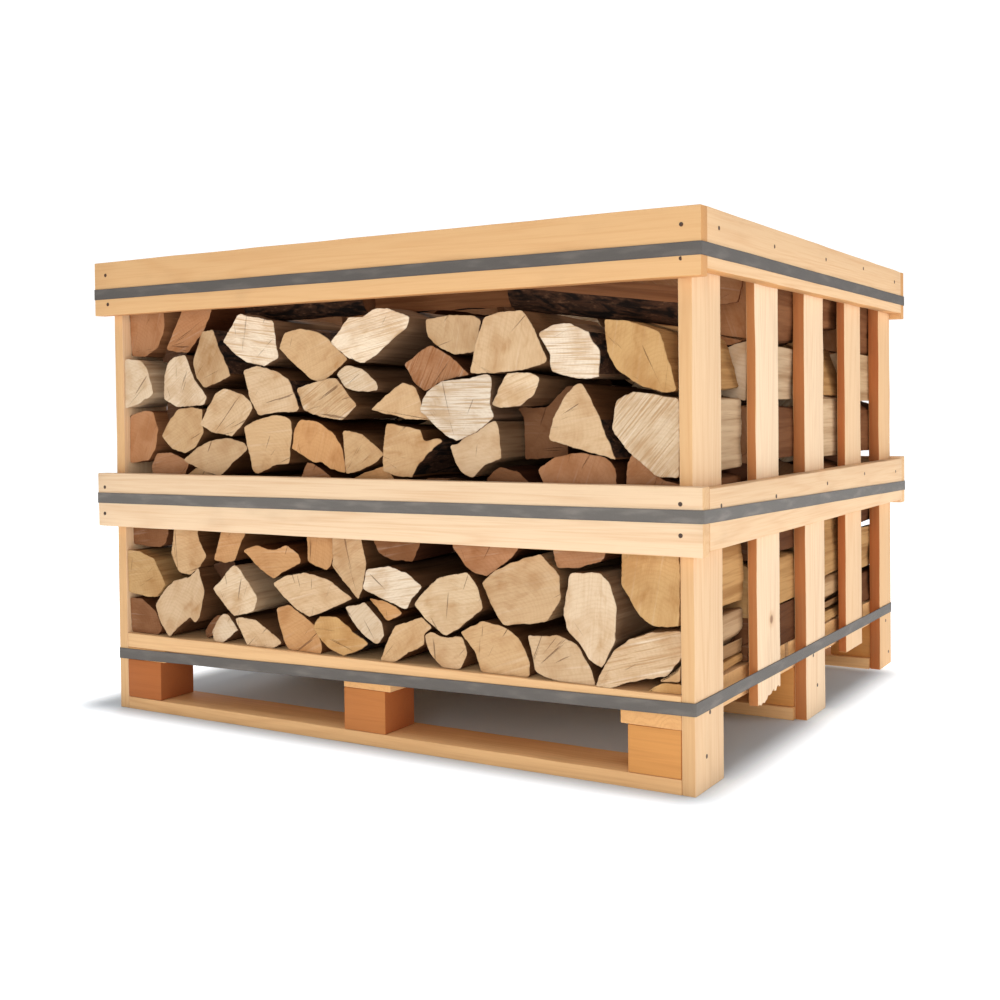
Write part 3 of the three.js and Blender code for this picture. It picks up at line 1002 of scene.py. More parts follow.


# The front row between its two rails; the darker ends, standing back or under the top rail, are partly
# painted shade
UPPER_BILLETS = (
    Billet(((27, 658), (68, 656), (104, 674), (122, 708), (122, 752), (85, 766), (27, 764)), Tone.RUDDY,
           14, 70, 0.2),
    Billet(((118, 668), (150, 662), (176, 660), (218, 700), (238, 738), (225, 764), (172, 760),
           (139, 704)), Tone.RUDDY, 18, 20),
    Billet(((124, 576), (128, 620), (136, 640), (152, 652), (182, 657), (205, 610), (235, 578),
           (226, 564), (157, 561)), Tone.CREAM, 4, 35, 0.4),
    Billet(((198, 642), (220, 697), (246, 699), (264, 662), (291, 616), (256, 602), (228, 595),
           (208, 612)), Tone.TAN, 6, 60, 0.2, (2, 4)),
    Billet(((27, 653), (70, 649), (87, 637), (100, 602), (104, 585), (67, 569), (27, 558)), Tone.CREAM, 0,
           15, 0.2),
    Billet(((27, 547), (72, 556), (92, 552), (104, 520), (98, 485), (80, 463), (27, 456)), Tone.RUDDY, 10,
           70, 0.1),
    Billet(((116, 508), (134, 532), (160, 556), (195, 560), (226, 557), (222, 535), (226, 516),
           (205, 489), (176, 477), (142, 484)), Tone.TAN, 4, 25, 0.2),
    Billet(((218, 528), (230, 548), (254, 584), (276, 594), (317, 582), (337, 569), (342, 556),
           (318, 527), (295, 508), (251, 514)), Tone.PALE, 3, 30, 0.3),
    Billet(((176, 465), (208, 486), (239, 500), (279, 505), (317, 496), (325, 485), (298, 466),
           (262, 436), (226, 444), (204, 452)), Tone.TAN, 5, 15, 0.2),
    Billet(((80, 451), (95, 476), (132, 477), (175, 460), (164, 436), (150, 415), (105, 410), (84, 425)),
           Tone.RUDDY, 16),
    Billet(((176, 436), (201, 451), (245, 436), (285, 425), (292, 394), (240, 386), (185, 394)), Tone.TAN,
           10),
    Billet(((276, 677), (289, 690), (301, 708), (314, 724), (361, 714), (393, 708), (400, 655),
           (404, 644), (370, 630), (326, 640), (300, 657)), Tone.WHITE, 2, -8, 0.9),
    Billet(((320, 624), (351, 631), (395, 621), (425, 604), (446, 557), (440, 550), (395, 550),
           (356, 544), (337, 570)), Tone.PALE, 5, 12, 0.3, (3, 4)),
    Billet(((321, 524), (351, 537), (397, 545), (428, 538), (431, 518), (423, 461), (389, 457),
           (351, 442), (339, 448)), Tone.TAN, 4, 5, 0.2),
    Billet(((401, 660), (416, 687), (447, 693), (491, 685), (522, 663), (552, 636), (509, 608),
           (491, 601), (472, 605), (438, 630)), Tone.TAN, 6, 20, 0.2, (3, 5)),
    Billet(((520, 665), (541, 686), (559, 707), (587, 705), (612, 718), (637, 718), (681, 702),
           (676, 684), (650, 669), (612, 640), (587, 629), (556, 640)), Tone.WHITE, 0, 12, 0.7),
    Billet(((527, 613), (550, 628), (587, 619), (616, 594), (616, 583), (575, 583), (548, 588)),
           Tone.CREAM, 3, 20, 0.5),
    Billet(((441, 590), (487, 601), (528, 607), (550, 584), (572, 560), (541, 535), (494, 541),
           (456, 552)), Tone.PALE, 3, 30, 0.7),
    Billet(((664, 626), (700, 647), (719, 655), (759, 633), (791, 606), (744, 599), (703, 580),
           (685, 592)), Tone.RUDDY, 8, 62, 1.0),
    Billet(((598, 552), (637, 580), (662, 596), (687, 590), (698, 566), (701, 549), (718, 534),
           (669, 537)), Tone.TAN, 5, 20, 0.2),
    Billet(((698, 551), (712, 580), (744, 597), (800, 600), (828, 607), (837, 600), (832, 560),
           (840, 538), (806, 515), (769, 501), (744, 513)), Tone.WHITE, 0, 0, 1.0),
    Billet(((431, 487), (437, 522), (449, 537), (484, 533), (519, 513), (537, 487), (544, 446),
           (516, 452), (491, 466), (478, 462)), Tone.ORANGE, 5, 75, 0.2),
    Billet(((538, 518), (575, 513), (603, 494), (622, 478), (600, 462), (562, 447), (546, 446)), Tone.TAN,
           6, 30, 0.2),
    Billet(((430, 400), (436, 436), (450, 464), (478, 455), (510, 434), (520, 395), (480, 387)),
           Tone.RUDDY, 18),
    Billet(((550, 437), (575, 447), (619, 460), (637, 439), (650, 405), (600, 390), (548, 395)),
           Tone.ORANGE, 16),
    Billet(((631, 530), (669, 524), (697, 519), (704, 500), (734, 505), (739, 500), (706, 477),
           (681, 442), (650, 443), (624, 452), (624, 485)), Tone.TAN, 4, 15, 0.2, (4, 7)),
    Billet(((755, 494), (769, 496), (785, 508), (827, 529), (841, 534), (848, 510), (849, 474),
           (821, 465), (796, 442), (775, 452), (764, 470)), Tone.PALE, 3, 10, 0.2, lit_side=0.3),
    Billet(((708, 696), (753, 701), (800, 698), (812, 690), (800, 640), (778, 640), (762, 638),
           (731, 652), (712, 668)), Tone.TAN, 8, 80, 0.2, (2, 5)),
    Billet(((821, 694), (849, 701), (889, 702), (906, 680), (930, 632), (933, 622), (899, 611),
           (836, 607), (796, 608), (806, 655)), Tone.PALE, 2, 80, 0.2),
    Billet(((831, 557), (849, 588), (862, 606), (902, 606), (921, 598), (911, 573), (886, 556),
           (845, 553)), Tone.CREAM, 3, 20, 0.5),
    Billet(((919, 665), (946, 677), (972, 678), (1003, 664), (1022, 634), (1020, 596), (983, 595),
           (942, 606), (938, 618), (940, 632)), Tone.WHITE, 1, 0, 1.0, (3, 5)),
    Billet(((1030, 682), (1074, 676), (1119, 660), (1133, 612), (1144, 574), (1124, 571), (1086, 583),
           (1050, 606), (1033, 635)), Tone.GOLD, 2, 80, 0.15),
    Billet(((983, 588), (992, 588), (1022, 535), (1046, 474), (1011, 484), (967, 494), (933, 504),
           (940, 535), (960, 568)), Tone.PALE, 3, 10, 0.2, (2, 3)),
    Billet(((1040, 520), (1047, 562), (1075, 575), (1146, 563), (1149, 500), (1146, 450), (1112, 451),
           (1064, 488)), Tone.CREAM, 2, 48, 0.9),
    Billet(((908, 458), (936, 476), (980, 485), (1024, 477), (1040, 462), (1041, 430), (1020, 395),
           (940, 394)), Tone.RUDDY, 14, 70, 0.2),
    Billet(((812, 441), (836, 460), (871, 453), (895, 430), (880, 398), (820, 396)), Tone.BROWN, 20),
    Billet(((1055, 430), (1057, 466), (1067, 485), (1096, 459), (1119, 443), (1146, 440), (1147, 402),
           (1080, 394)), Tone.RUDDY, 16, 40),
    Billet(((852, 470), (850, 535), (838, 553), (890, 552), (925, 585), (968, 588), (942, 545),
           (928, 505), (930, 476)), Tone.BROWN, 75, 0, 0.1),
)

# Dark logs that stand further back, in the gaps between the others; their darkness is partly their own colour
# and partly painted shade for the gaps
DEEP_BILLETS = (
    Billet(((84, 646), (128, 640), (150, 662), (120, 690), (98, 672)), Tone.DARK, 42),
    Billet(((94, 556), (104, 600), (128, 640), (132, 560), (180, 562), (134, 534), (108, 516)), Tone.DARK,
           42),
    Billet(((92, 556), (106, 516), (134, 532), (190, 560), (180, 575), (120, 578)), Tone.DARK, 42),
    Billet(((104, 300), (140, 288), (150, 262), (126, 246), (104, 290)), Tone.DARK, 42),
    Billet(((206, 270), (246, 286), (262, 276), (238, 236), (222, 250)), Tone.DARK, 42),
)

# The front row below the middle rail, and behind it
LOWER_BILLETS = (
    Billet(((27, 303), (98, 300), (114, 306), (123, 330), (124, 385), (85, 398), (27, 395)), Tone.BROWN,
           14),
    Billet(((140, 332), (134, 288), (154, 258), (180, 254), (205, 270), (220, 291), (205, 312),
           (198, 330), (200, 375), (165, 385)), Tone.TAN, 10, 15),
    Billet(((27, 294), (61, 292), (98, 281), (120, 247), (128, 234), (103, 209), (83, 208), (27, 214)),
           Tone.GOLD, 0),
    Billet(((27, 203), (61, 203), (95, 181), (110, 148), (98, 143), (27, 143)), Tone.BROWN, 6, 0, 0.3),
    Billet(((99, 193), (120, 222), (145, 242), (182, 250), (203, 269), (219, 228), (208, 178), (196, 168),
           (187, 178), (150, 152), (136, 143), (114, 162)), Tone.PALE, 2, 60, 0.2),
    Billet(((200, 150), (222, 176), (238, 184), (247, 178), (232, 156), (224, 145), (206, 143)),
           Tone.BROWN, 24),
    Billet(((237, 156), (251, 178), (267, 191), (279, 187), (300, 163), (279, 148), (264, 143),
           (242, 143)), Tone.CREAM, 4),
    Billet(((240, 233), (264, 253), (289, 278), (300, 278), (332, 247), (351, 222), (342, 200),
           (295, 188), (277, 199), (254, 220)), Tone.CREAM, 2, 20, 0.3, lit_side=0.6),
    Billet(((293, 183), (307, 187), (342, 184), (389, 158), (401, 148), (379, 142), (320, 142),
           (307, 162)), Tone.PALE, 4),
    Billet(((386, 207), (414, 216), (447, 200), (472, 186), (491, 152), (487, 142), (416, 142),
           (404, 150), (392, 182)), Tone.ORANGE, 6, 25),
    Billet(((234, 284), (245, 312), (256, 345), (262, 385), (315, 392), (318, 345), (300, 318),
           (286, 286), (262, 279)), Tone.ORANGE, 14, 10),
    Billet(((313, 306), (345, 316), (382, 309), (414, 320), (441, 306), (448, 292), (406, 272),
           (384, 259), (351, 277)), Tone.ORANGE, 4, 5),
    Billet(((457, 294), (456, 335), (462, 380), (508, 385), (514, 318), (507, 291), (497, 280),
           (470, 287)), Tone.ORANGE, 10, 80),
    Billet(((512, 288), (514, 330), (520, 382), (565, 385), (580, 312), (584, 297), (575, 254),
           (566, 235), (544, 257)), Tone.TAN, 6, 30),
    Billet(((384, 251), (414, 267), (456, 274), (503, 266), (553, 236), (506, 215), (462, 198),
           (431, 212)), Tone.PALE, 4, 15, 0.3),
    Billet(((578, 254), (587, 287), (631, 296), (669, 286), (700, 266), (681, 247), (666, 226),
           (619, 241)), Tone.WHITE, 2, 10, 0.6),
    Billet(((586, 239), (603, 225), (625, 203), (656, 219), (637, 230), (619, 236)), Tone.ORANGE, 8),
    Billet(((540, 222), (572, 228), (582, 234), (617, 203), (621, 180), (606, 163), (581, 175),
           (553, 200)), Tone.CREAM, 3, 40, 0.3),
    Billet(((471, 180), (487, 203), (525, 203), (556, 181), (587, 162), (562, 148), (534, 142),
           (500, 150)), Tone.GOLD, 4, 10, 0.2, (3, 6)),
    Billet(((611, 142), (625, 169), (641, 197), (694, 216), (715, 200), (698, 188), (700, 172),
           (669, 156), (640, 143)), Tone.TAN, 5, 30),
    Billet(((682, 236), (703, 259), (731, 283), (784, 294), (804, 272), (813, 238), (772, 206),
           (744, 190), (728, 198), (704, 216)), Tone.CREAM, 2, 10, 0.3),
    Billet(((699, 186), (710, 193), (741, 186), (773, 191), (783, 166), (769, 143), (731, 142),
           (707, 162)), Tone.TAN, 5),
    Billet(((769, 197), (811, 219), (849, 213), (877, 198), (896, 162), (894, 142), (808, 142),
           (798, 166), (786, 182)), Tone.TAN, 4, 20),
    Billet(((892, 202), (949, 207), (977, 196), (1001, 162), (1009, 142), (942, 142), (906, 148),
           (900, 175)), Tone.PALE, 4),
    Billet(((967, 302), (1017, 307), (1035, 291), (1046, 259), (1042, 204), (1020, 165), (999, 176),
           (984, 197), (962, 216), (955, 244)), Tone.CREAM, 2, 85, 0.2, lit_side=0.25),
    Billet(((811, 280), (836, 300), (883, 320), (916, 328), (948, 298), (950, 262), (927, 227),
           (899, 221), (850, 216), (834, 237)), Tone.TAN, 4, 15, 0.2, lit_side=0.45),
    Billet(((934, 333), (940, 308), (974, 310), (1017, 323), (1022, 335), (1015, 372), (960, 385),
           (934, 372)), Tone.RUDDY, 14),
    Billet(((1052, 291), (1052, 345), (1060, 385), (1140, 385), (1146, 311), (1145, 237), (1105, 234),
           (1080, 250)), Tone.GOLD, 3, 80, 0.2),
    Billet(((1011, 143), (1019, 158), (1039, 191), (1064, 211), (1092, 222), (1146, 229), (1147, 194),
           (1124, 163), (1061, 148), (1036, 143)), Tone.PALE, 2, 15, 0.8),
    Billet(((1092, 143), (1116, 152), (1146, 153), (1146, 143)), Tone.GOLD, 5),
    Billet(((1112, 155), (1138, 170), (1146, 182), (1146, 156)), Tone.TAN, 1),
    Billet(((597, 335), (606, 314), (631, 305), (672, 303), (687, 332), (690, 375), (640, 392),
           (595, 378)), Tone.BROWN, 12),
    Billet(((753, 332), (778, 303), (796, 292), (817, 289), (864, 320), (877, 335), (872, 378),
           (810, 392), (757, 378)), Tone.RUDDY, 8, 10),
    Billet(((692, 345), (742, 340), (748, 378), (752, 430), (700, 436), (694, 390)), Tone.BROWN, 20),
    Billet(((325, 350), (448, 345), (452, 388), (426, 396), (424, 430), (380, 438), (300, 428),
           (302, 400)), Tone.TAN, 16),
    Billet(((655, 400), (688, 396), (745, 440), (802, 432), (812, 398), (760, 440), (700, 440)),
           Tone.BROWN, 24),
)

# The course on top of each rear row
TOP_BILLETS = (
    Billet(((50, 772), (130, 778), (150, 765), (128, 722), (60, 722)), Tone.RUDDY, 8),
    Billet(((156, 760), (175, 782), (262, 780), (272, 744), (240, 716), (176, 718)), Tone.RUDDY, 12, 40),
    Billet(((284, 735), (296, 778), (352, 784), (392, 762), (388, 724), (330, 728)), Tone.BROWN, 5),
    Billet(((400, 722), (408, 768), (470, 780), (502, 752), (490, 705), (440, 706)), Tone.BROWN, 9, 25,
           0.5),
    Billet(((512, 720), (520, 764), (584, 784), (628, 766), (622, 730), (560, 724)), Tone.RUDDY, 4),
    Billet(((636, 735), (655, 780), (720, 782), (745, 750), (730, 716), (668, 720)), Tone.BROWN, 10, 70),
    Billet(((752, 722), (758, 776), (826, 782), (858, 748), (846, 714), (800, 712)), Tone.RUDDY, 6, 10,
           0.5),
    Billet(((866, 716), (870, 768), (930, 786), (962, 756), (950, 700), (905, 712)), Tone.RUDDY, 8),
    Billet(((970, 704), (976, 760), (1030, 782), (1052, 744), (1040, 700), (1000, 696)), Tone.BROWN, 6),
    Billet(((1062, 700), (1064, 762), (1120, 778), (1148, 756), (1146, 700), (1100, 690)), Tone.BROWN, 9),
)


@dataclass(frozen=True)
class Habit:
    """One log's own build, drawn by chance.

    Attributes:
        taper: how much thicker it grows towards the back, as a share.
        lean: how far it drifts across and up towards the back, in metres.
        cut: how much its front end slants across and up.
        end: how far its back end stops short, in metres.
        seed: where it starts in the patterns.
        tint: its wood's colour.
        side: how lit its long sides are painted, from 0, painted shade, to 1, painted light.
    """

    taper: float
    lean: Span
    cut: Span
    end: float
    seed: float
    tint: list[float]
    side: float


@dataclass
class LogRow:
    """One row of logs lying front to back, made as one piece for each of its courses.

    Attributes:
        number: the row's place from the front, starting at 1.
        courses: how many courses it has.
        flipped: whether its logs are laid as the mirror of the front row's.
        topped: whether it is stacked up to the rails.
        swelling: how much fatter its logs are than drawn, as a share of their size.
        unlike: how far each corner may lie from where it was drawn, in millimetres.
        point_spacing: how close an outline's points are, in millimetres.
        rounding_passes: how often the corners are softened.
        rough: how far each point strays on its own, in millimetres.
        waver: how far the outline wanders, in millimetres.
        rings: how many lengths each log is drawn out in.
        rim: how wide the darker rim of an end is.
        rim_depth: how dark the rim is where there is no bark.
        taper: how much thicker a log may grow towards the back.
        lean: how far a log may drift over its length, in millimetres.
        cut: how much a front end may slant.
        short: how far a back end may stop short, in millimetres.
        wave: how deep the waves along a log are, in millimetres.
        wave_rates: how quickly the waves change across a log and along it.
        waver_rate: how quickly the outline wanders.
        outline_seeds: the range of starting places for the wandering.
        pattern_seeds: the range of starting places in the finishes' patterns.
        lightness: how much lighter or darker than its tone a log may be.
        warmth: how much warmer or cooler than its tone a log may be.
        pith_reach: how far the tree's heart lies from a log's middle, in millimetres.
        slat_reach: how near a log must be to a side to be seen between the slats, in millimetres.
        shaded_side: how lit the long sides are painted of a log inside the stack: mostly painted shade.
        top_lit_side: the same for a log of a rear row's top course, painted as lit from above.
        lit_side: the same for a pale log seen between the slats, painted as lit.
        dimly_lit_side: the same for a darker one.
        smooth_below: the angle below which faces are shaded smooth, in degrees.
    """

    number: int
    courses: int
    flipped: bool
    topped: bool
    swelling: float = 0.0
    unlike: float = 0.0
    point_spacing: float = 4.6
    rounding_passes: int = 1
    rough: float = 0.5
    waver: float = 1.3
    rings: int = 7
    rim: float = 2.0 * MM
    rim_depth: float = 0.42
    taper: Span = (-0.10, 0.0)
    lean: float = 4.0
    cut: float = 0.05
    short: float = 9.0
    wave: float = 4.0
    wave_rates: Span = (22.0, 2.6)
    waver_rate: float = 0.07
    outline_seeds: float = 50.0
    pattern_seeds: float = 90.0
    lightness: Span = (0.92, 1.06)
    warmth: float = 0.025
    pith_reach: float = 62.0
    slat_reach: float = 130.0
    # How lit the logs' long sides are painted: painted shade inside the stack, painted light at the slats and
    # on top.
    shaded_side: Span = (0.0, 0.10)
    top_lit_side: Span = (0.6, 1.0)
    lit_side: Span = (0.6, 0.9)
    dimly_lit_side: Span = (0.22, 0.5)
    smooth_below: float = 38.0

    def build(self, finishes: Sequence[bpy.types.Material]) -> None:
        """Builds every course of the row.

        Args:
            finishes: the end grain, the split side and the bark.
        """
        boxes = [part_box(f"logs_row_{self.number}_course_{course}") for course in range(1, self.courses + 1)]
        seams = [(below[1].z + above[0].z) / 2 / MM for below, above in zip(boxes, boxes[1:])]
        billets = tuple(billet.laid() for billet in UPPER_BILLETS + DEEP_BILLETS + LOWER_BILLETS)
        billets += TOP_BILLETS if self.topped else ()
        if self.flipped:
            billets = tuple(billet.mirrored(CRATE_WIDTH) for billet in billets)
        front = boxes[0][0].y
        depth = boxes[0][1].y - front
        for course in range(self.courses):
            chosen = [b for b in billets if sum(b.centre()[1] > seam for seam in seams) == course]
            self.build_course(course + 1, chosen, front, depth, finishes)

    def build_course(
        self,
        course: int,
        billets: Sequence[Billet],
        front: float,
        depth: float,
        finishes: Sequence[bpy.types.Material],
    ) -> None:
        """Builds one course: outlines, then their length, then their natural unevenness.

        Args:
            course: its number from the bottom.
            billets: the logs in it.
            front: where the row starts, in metres.
            depth: the logs' length.
            finishes: the end grain, the split side and the bark.
        """
        node = f"logs_row_{self.number}_course_{course}"
        bpy.ops.object.select_all(action="DESELECT")
        bpy.ops.mesh.primitive_circle_add(vertices=3, radius=STARTER)
        piece = bpy.context.object
        piece.name = piece.data.name = "split_" + node
        chance = Random(self.number * ROW_SEED + course)
        with edit_mode(piece):
            bpy.ops.mesh.select_all(action="SELECT")
            bpy.ops.mesh.delete(type="VERT")
            mesh = bmesh.from_edit_mesh(piece.data)
            mesh.verts.layers.int.new("billet")
            mesh.verts.layers.float.new("barked")
            mesh.verts.layers.float.new("rim")
            bmesh.update_edit_mesh(piece.data)
            for index, billet in enumerate(billets):
                self.add_end(piece, index, billet, front, chance)
            bpy.ops.mesh.select_mode(type="FACE")
            bpy.ops.mesh.select_all(action="SELECT")
            for _ in range(self.rings):
                move = {"value": (0.0, depth / self.rings, 0.0)}
                bpy.ops.mesh.extrude_region_move(TRANSFORM_OT_translate=move)
            bpy.ops.mesh.select_all(action="SELECT")
            bpy.ops.mesh.normals_make_consistent(inside=False)
            choose_faces(piece, lambda face: abs(face.normal.y) > END_ON)
            bpy.ops.mesh.inset(thickness=self.rim, depth=0.0, use_individual=True, use_even_offset=False)
            mesh = live_mesh(piece)
            rim = mesh.verts.layers.float["rim"]
            barked = mesh.verts.layers.float["barked"]
            for vertex in mesh.verts:
                vertex[rim] = 0.0 if vertex.select else max(self.rim_depth, vertex[barked])
            bmesh.update_edit_mesh(piece.data)
        self.weather(piece, billets, front, depth, chance)
        for finish in finishes:
            piece.data.materials.append(finish)
        barked = [value.value for value in piece.data.attributes["barked"].data]
        for face in piece.data.polygons:
            if abs(face.normal.y) > SAWN_FACE:
                face.material_index = END_FINISH
            else:
                has_bark = min(barked[v] for v in face.vertices) > 0.5
                face.material_index = BARK_FINISH if has_bark else SIDE_FINISH
        smooth(piece, self.smooth_below)
        hand_over(piece, "split_log", node)

    def add_end(
        self, piece: bpy.types.Object, index: int, billet: Billet, front: float, chance: Random
    ) -> None:
        """Adds one log's front end to the open mesh and shapes it to the log's outline.

        Args:
            piece: the course, in edit mode.
            index: the log's number in the course.
            billet: the log.
            front: where the row starts, in metres.
            chance: the course's own random numbers.
        """
        outline = self.outline(billet, chance)
        turned = (math.pi / 2, 0.0, 0.0)
        bpy.ops.mesh.primitive_circle_add(
            vertices=len(outline), radius=STARTER, fill_type="NGON", rotation=turned
        )
        mesh = live_mesh(piece)
        number = mesh.verts.layers.int["billet"]
        barked = mesh.verts.layers.float["barked"]
        added = [vertex for vertex in mesh.verts if vertex.select]
        for vertex, (across, up, bark) in zip(added, outline):
            vertex.co = Vector((CORNER.x + across * MM, front, up * MM))
            vertex[number] = index
            vertex[barked] = bark
        bmesh.update_edit_mesh(piece.data)

    def outline(self, billet: Billet, chance: Random) -> list[tuple[float, float, float]]:
        """Returns the log's outline as closely set points with softened corners.

        Args:
            billet: the log.
            chance: the course's own random numbers.

        Returns:
            Points across, up, and 1 where there is bark.
        """
        moved = self.unlike
        corners = [
            (x + chance.uniform(-moved, moved), z + chance.uniform(-moved, moved)) for x, z in billet.corners
        ]
        points: list[tuple[float, float, float]] = []
        for place, (x, z) in enumerate(corners):
            nx, nz = corners[(place + 1) % len(corners)]
            bark = 1.0 if billet.bark and billet.bark[0] <= place < billet.bark[1] else 0.0
            count = max(1, round(math.hypot(nx - x, nz - z) / self.point_spacing))
            points += [(x + (nx - x) * i / count, z + (nz - z) * i / count, bark) for i in range(count)]
        for _ in range(self.rounding_passes):
            around = zip(points[-1:] + points[:-1], points, points[1:] + points[:1])
            points = [
                ((a[0] + 2 * b[0] + c[0]) / 4, (a[1] + 2 * b[1] + c[1]) / 4, b[2])
                for a, b, c in around
            ]
        seed = chance.uniform(0.0, self.outline_seeds)
        uneven = []
        for x, z, bark in points:
            spot = Vector((x * self.waver_rate, z * self.waver_rate, seed))
            waver = noise.noise_vector(spot) * self.waver * (1.0 + bark)
            fine = (chance.uniform(-self.rough, self.rough), chance.uniform(-self.rough, self.rough))
            uneven.append((x + waver.x + fine[0], z + waver.y + fine[1], bark))
        return uneven

    def weather(
        self, piece: bpy.types.Object, billets: Sequence[Billet], front: float, depth: float, chance: Random
    ) -> None:
        """Gives each log its own taper, lean, waves and end cut, and writes its patterns.

        Args:
            piece: the course.
            billets: its logs.
            front: where the row starts.
            depth: the logs' length.
            chance: the course's own random numbers.
        """
        habits = [self.habit_of(billet, chance) for billet in billets]
        leftmost, rightmost = CORNER.x + INNER_LEFT * MM, CORNER.x + (CRATE_WIDTH - INNER_LEFT) * MM
        numbers = [value.value for value in piece.data.attributes["billet"].data]
        heart: list[float] = []
        saw: list[float] = []
        tint: list[float] = []
        # How lit each log's sides are painted, from painted shade to painted light.
        side = [habits[number].side for number in numbers]
        for vertex, number in zip(piece.data.vertices, numbers):
            billet, habit = billets[number], habits[number]
            across, up = billet.centre()
            middle = Vector((CORNER.x + across * MM, 0.0, up * MM))
            share = (vertex.co.y - front) / depth
            offset = Vector((vertex.co.x, 0.0, vertex.co.z)) - middle
            pith = self.pith(billet)
            turn = math.radians(billet.saw)
            along_saw = offset.x * math.cos(turn) + offset.z * math.sin(turn)
            over_saw = offset.z * math.cos(turn) - offset.x * math.sin(turn)
            heart += [offset.x - pith.x, share * depth + habit.seed, offset.z - pith.z]
            saw += [over_saw + habit.seed, along_saw, 0.0]
            tint += [*habit.tint, billet.marks]
            over, down = self.wave_rates
            place = Vector((offset.x * over, share * down + habit.seed, offset.z * over))
            wave = noise.noise(place) * self.wave * MM
            grow = 1.0 + self.swelling + habit.taper * share
            grow += wave * min(share * WAVES_START, 1.0) / max(offset.length, SLIMMEST)
            start = front + billet.recess * MM + habit.cut[0] * offset.x + habit.cut[1] * offset.z
            end = front + depth - habit.end
            vertex.co = middle + offset * grow + Vector((habit.lean[0], 0.0, habit.lean[1])) * share
            vertex.co.y = start + (end - start) * share
            vertex.co.x = min(max(vertex.co.x, leftmost), rightmost)
            vertex.co.z = max(vertex.co.z, DECK_TOP * MM)
        write_attribute(piece, "heart", "FLOAT_VECTOR", "vector", heart)
        write_attribute(piece, "saw", "FLOAT_VECTOR", "vector", saw)
        write_attribute(piece, "tint", "FLOAT_COLOR", "color", tint)
        write_attribute(piece, "side", "FLOAT", "value", side)

    def habit_of(self, billet: Billet, chance: Random) -> Habit:
        """Draws one log's habit, always in the same order."""
        return Habit(
            taper=chance.uniform(*self.taper),
            lean=(chance.uniform(-self.lean, self.lean) * MM, chance.uniform(-self.lean, self.lean) * MM),
            cut=(chance.uniform(-self.cut, self.cut), chance.uniform(-self.cut, self.cut)),
            end=chance.uniform(0.0, self.short) * MM,
            seed=chance.uniform(0.0, self.pattern_seeds),
            tint=self.shade_of(billet.tone, chance),
            side=self.side_of(billet, chance),
        )

    def shade_of(self, tone: Tone, chance: Random) -> list[float]:
        """Returns a log's own shade of its tone, a little lighter or darker and a little warmer or cooler."""
        light, warm = chance.uniform(*self.lightness), chance.uniform(-self.warmth, self.warmth)
        red, green, blue = tone.value[:3]
        return [red * light * (1 + warm), green * light, blue * light * (1 - 2 * warm)]

    def side_of(self, billet: Billet, chance: Random) -> float:
        """Returns how lit a log's long sides are painted: painted shade inside the stack, painted light where
        they are seen between the slats and on top.
        """
        if billet.lit_side is not None:
            return billet.lit_side
        across, up = billet.centre()
        if up > TOP_COURSE:
            return chance.uniform(*self.top_lit_side)
        fair = billet.tone in (Tone.WHITE, Tone.CREAM, Tone.PALE, Tone.GOLD)
        at_slats = across > CRATE_WIDTH - self.slat_reach or across < self.slat_reach
        if not at_slats:
            return chance.uniform(*self.shaded_side)
        return chance.uniform(*self.lit_side) if fair else chance.uniform(*self.dimly_lit_side)

    def pith(self, billet: Billet) -> Vector:
        """Returns where the tree's heart lay, from the log's middle: away from its bark, or low down."""
        across, up = billet.centre()
        if billet.bark:
            x, z = billet.corners[(billet.bark[0] + billet.bark[1]) // 2]
            away = Vector((across - x, 0.0, up - z))
        else:
            x, z = min(billet.corners, key=lambda corner: corner[1] + 0.3 * corner[0])
            away = Vector((x - across, 0.0, z - up))
        return away.normalized() * self.pith_reach * MM


@dataclass(frozen=True)
class CrossLog:
    """How one cross log lies and looks.

    Attributes:
        left: how far its left end is above its middle, in millimetres.
        right: how far its right end is above its middle.
        facing: which way its split face looks, in degrees up from the back, so 180 is forward.
        split_share: how far out its split face lies, as a share of its radius.
        tone: the colour of its wood.
    """

    left: float
    right: float
    facing: float
    split_share: float
    tone: Tone


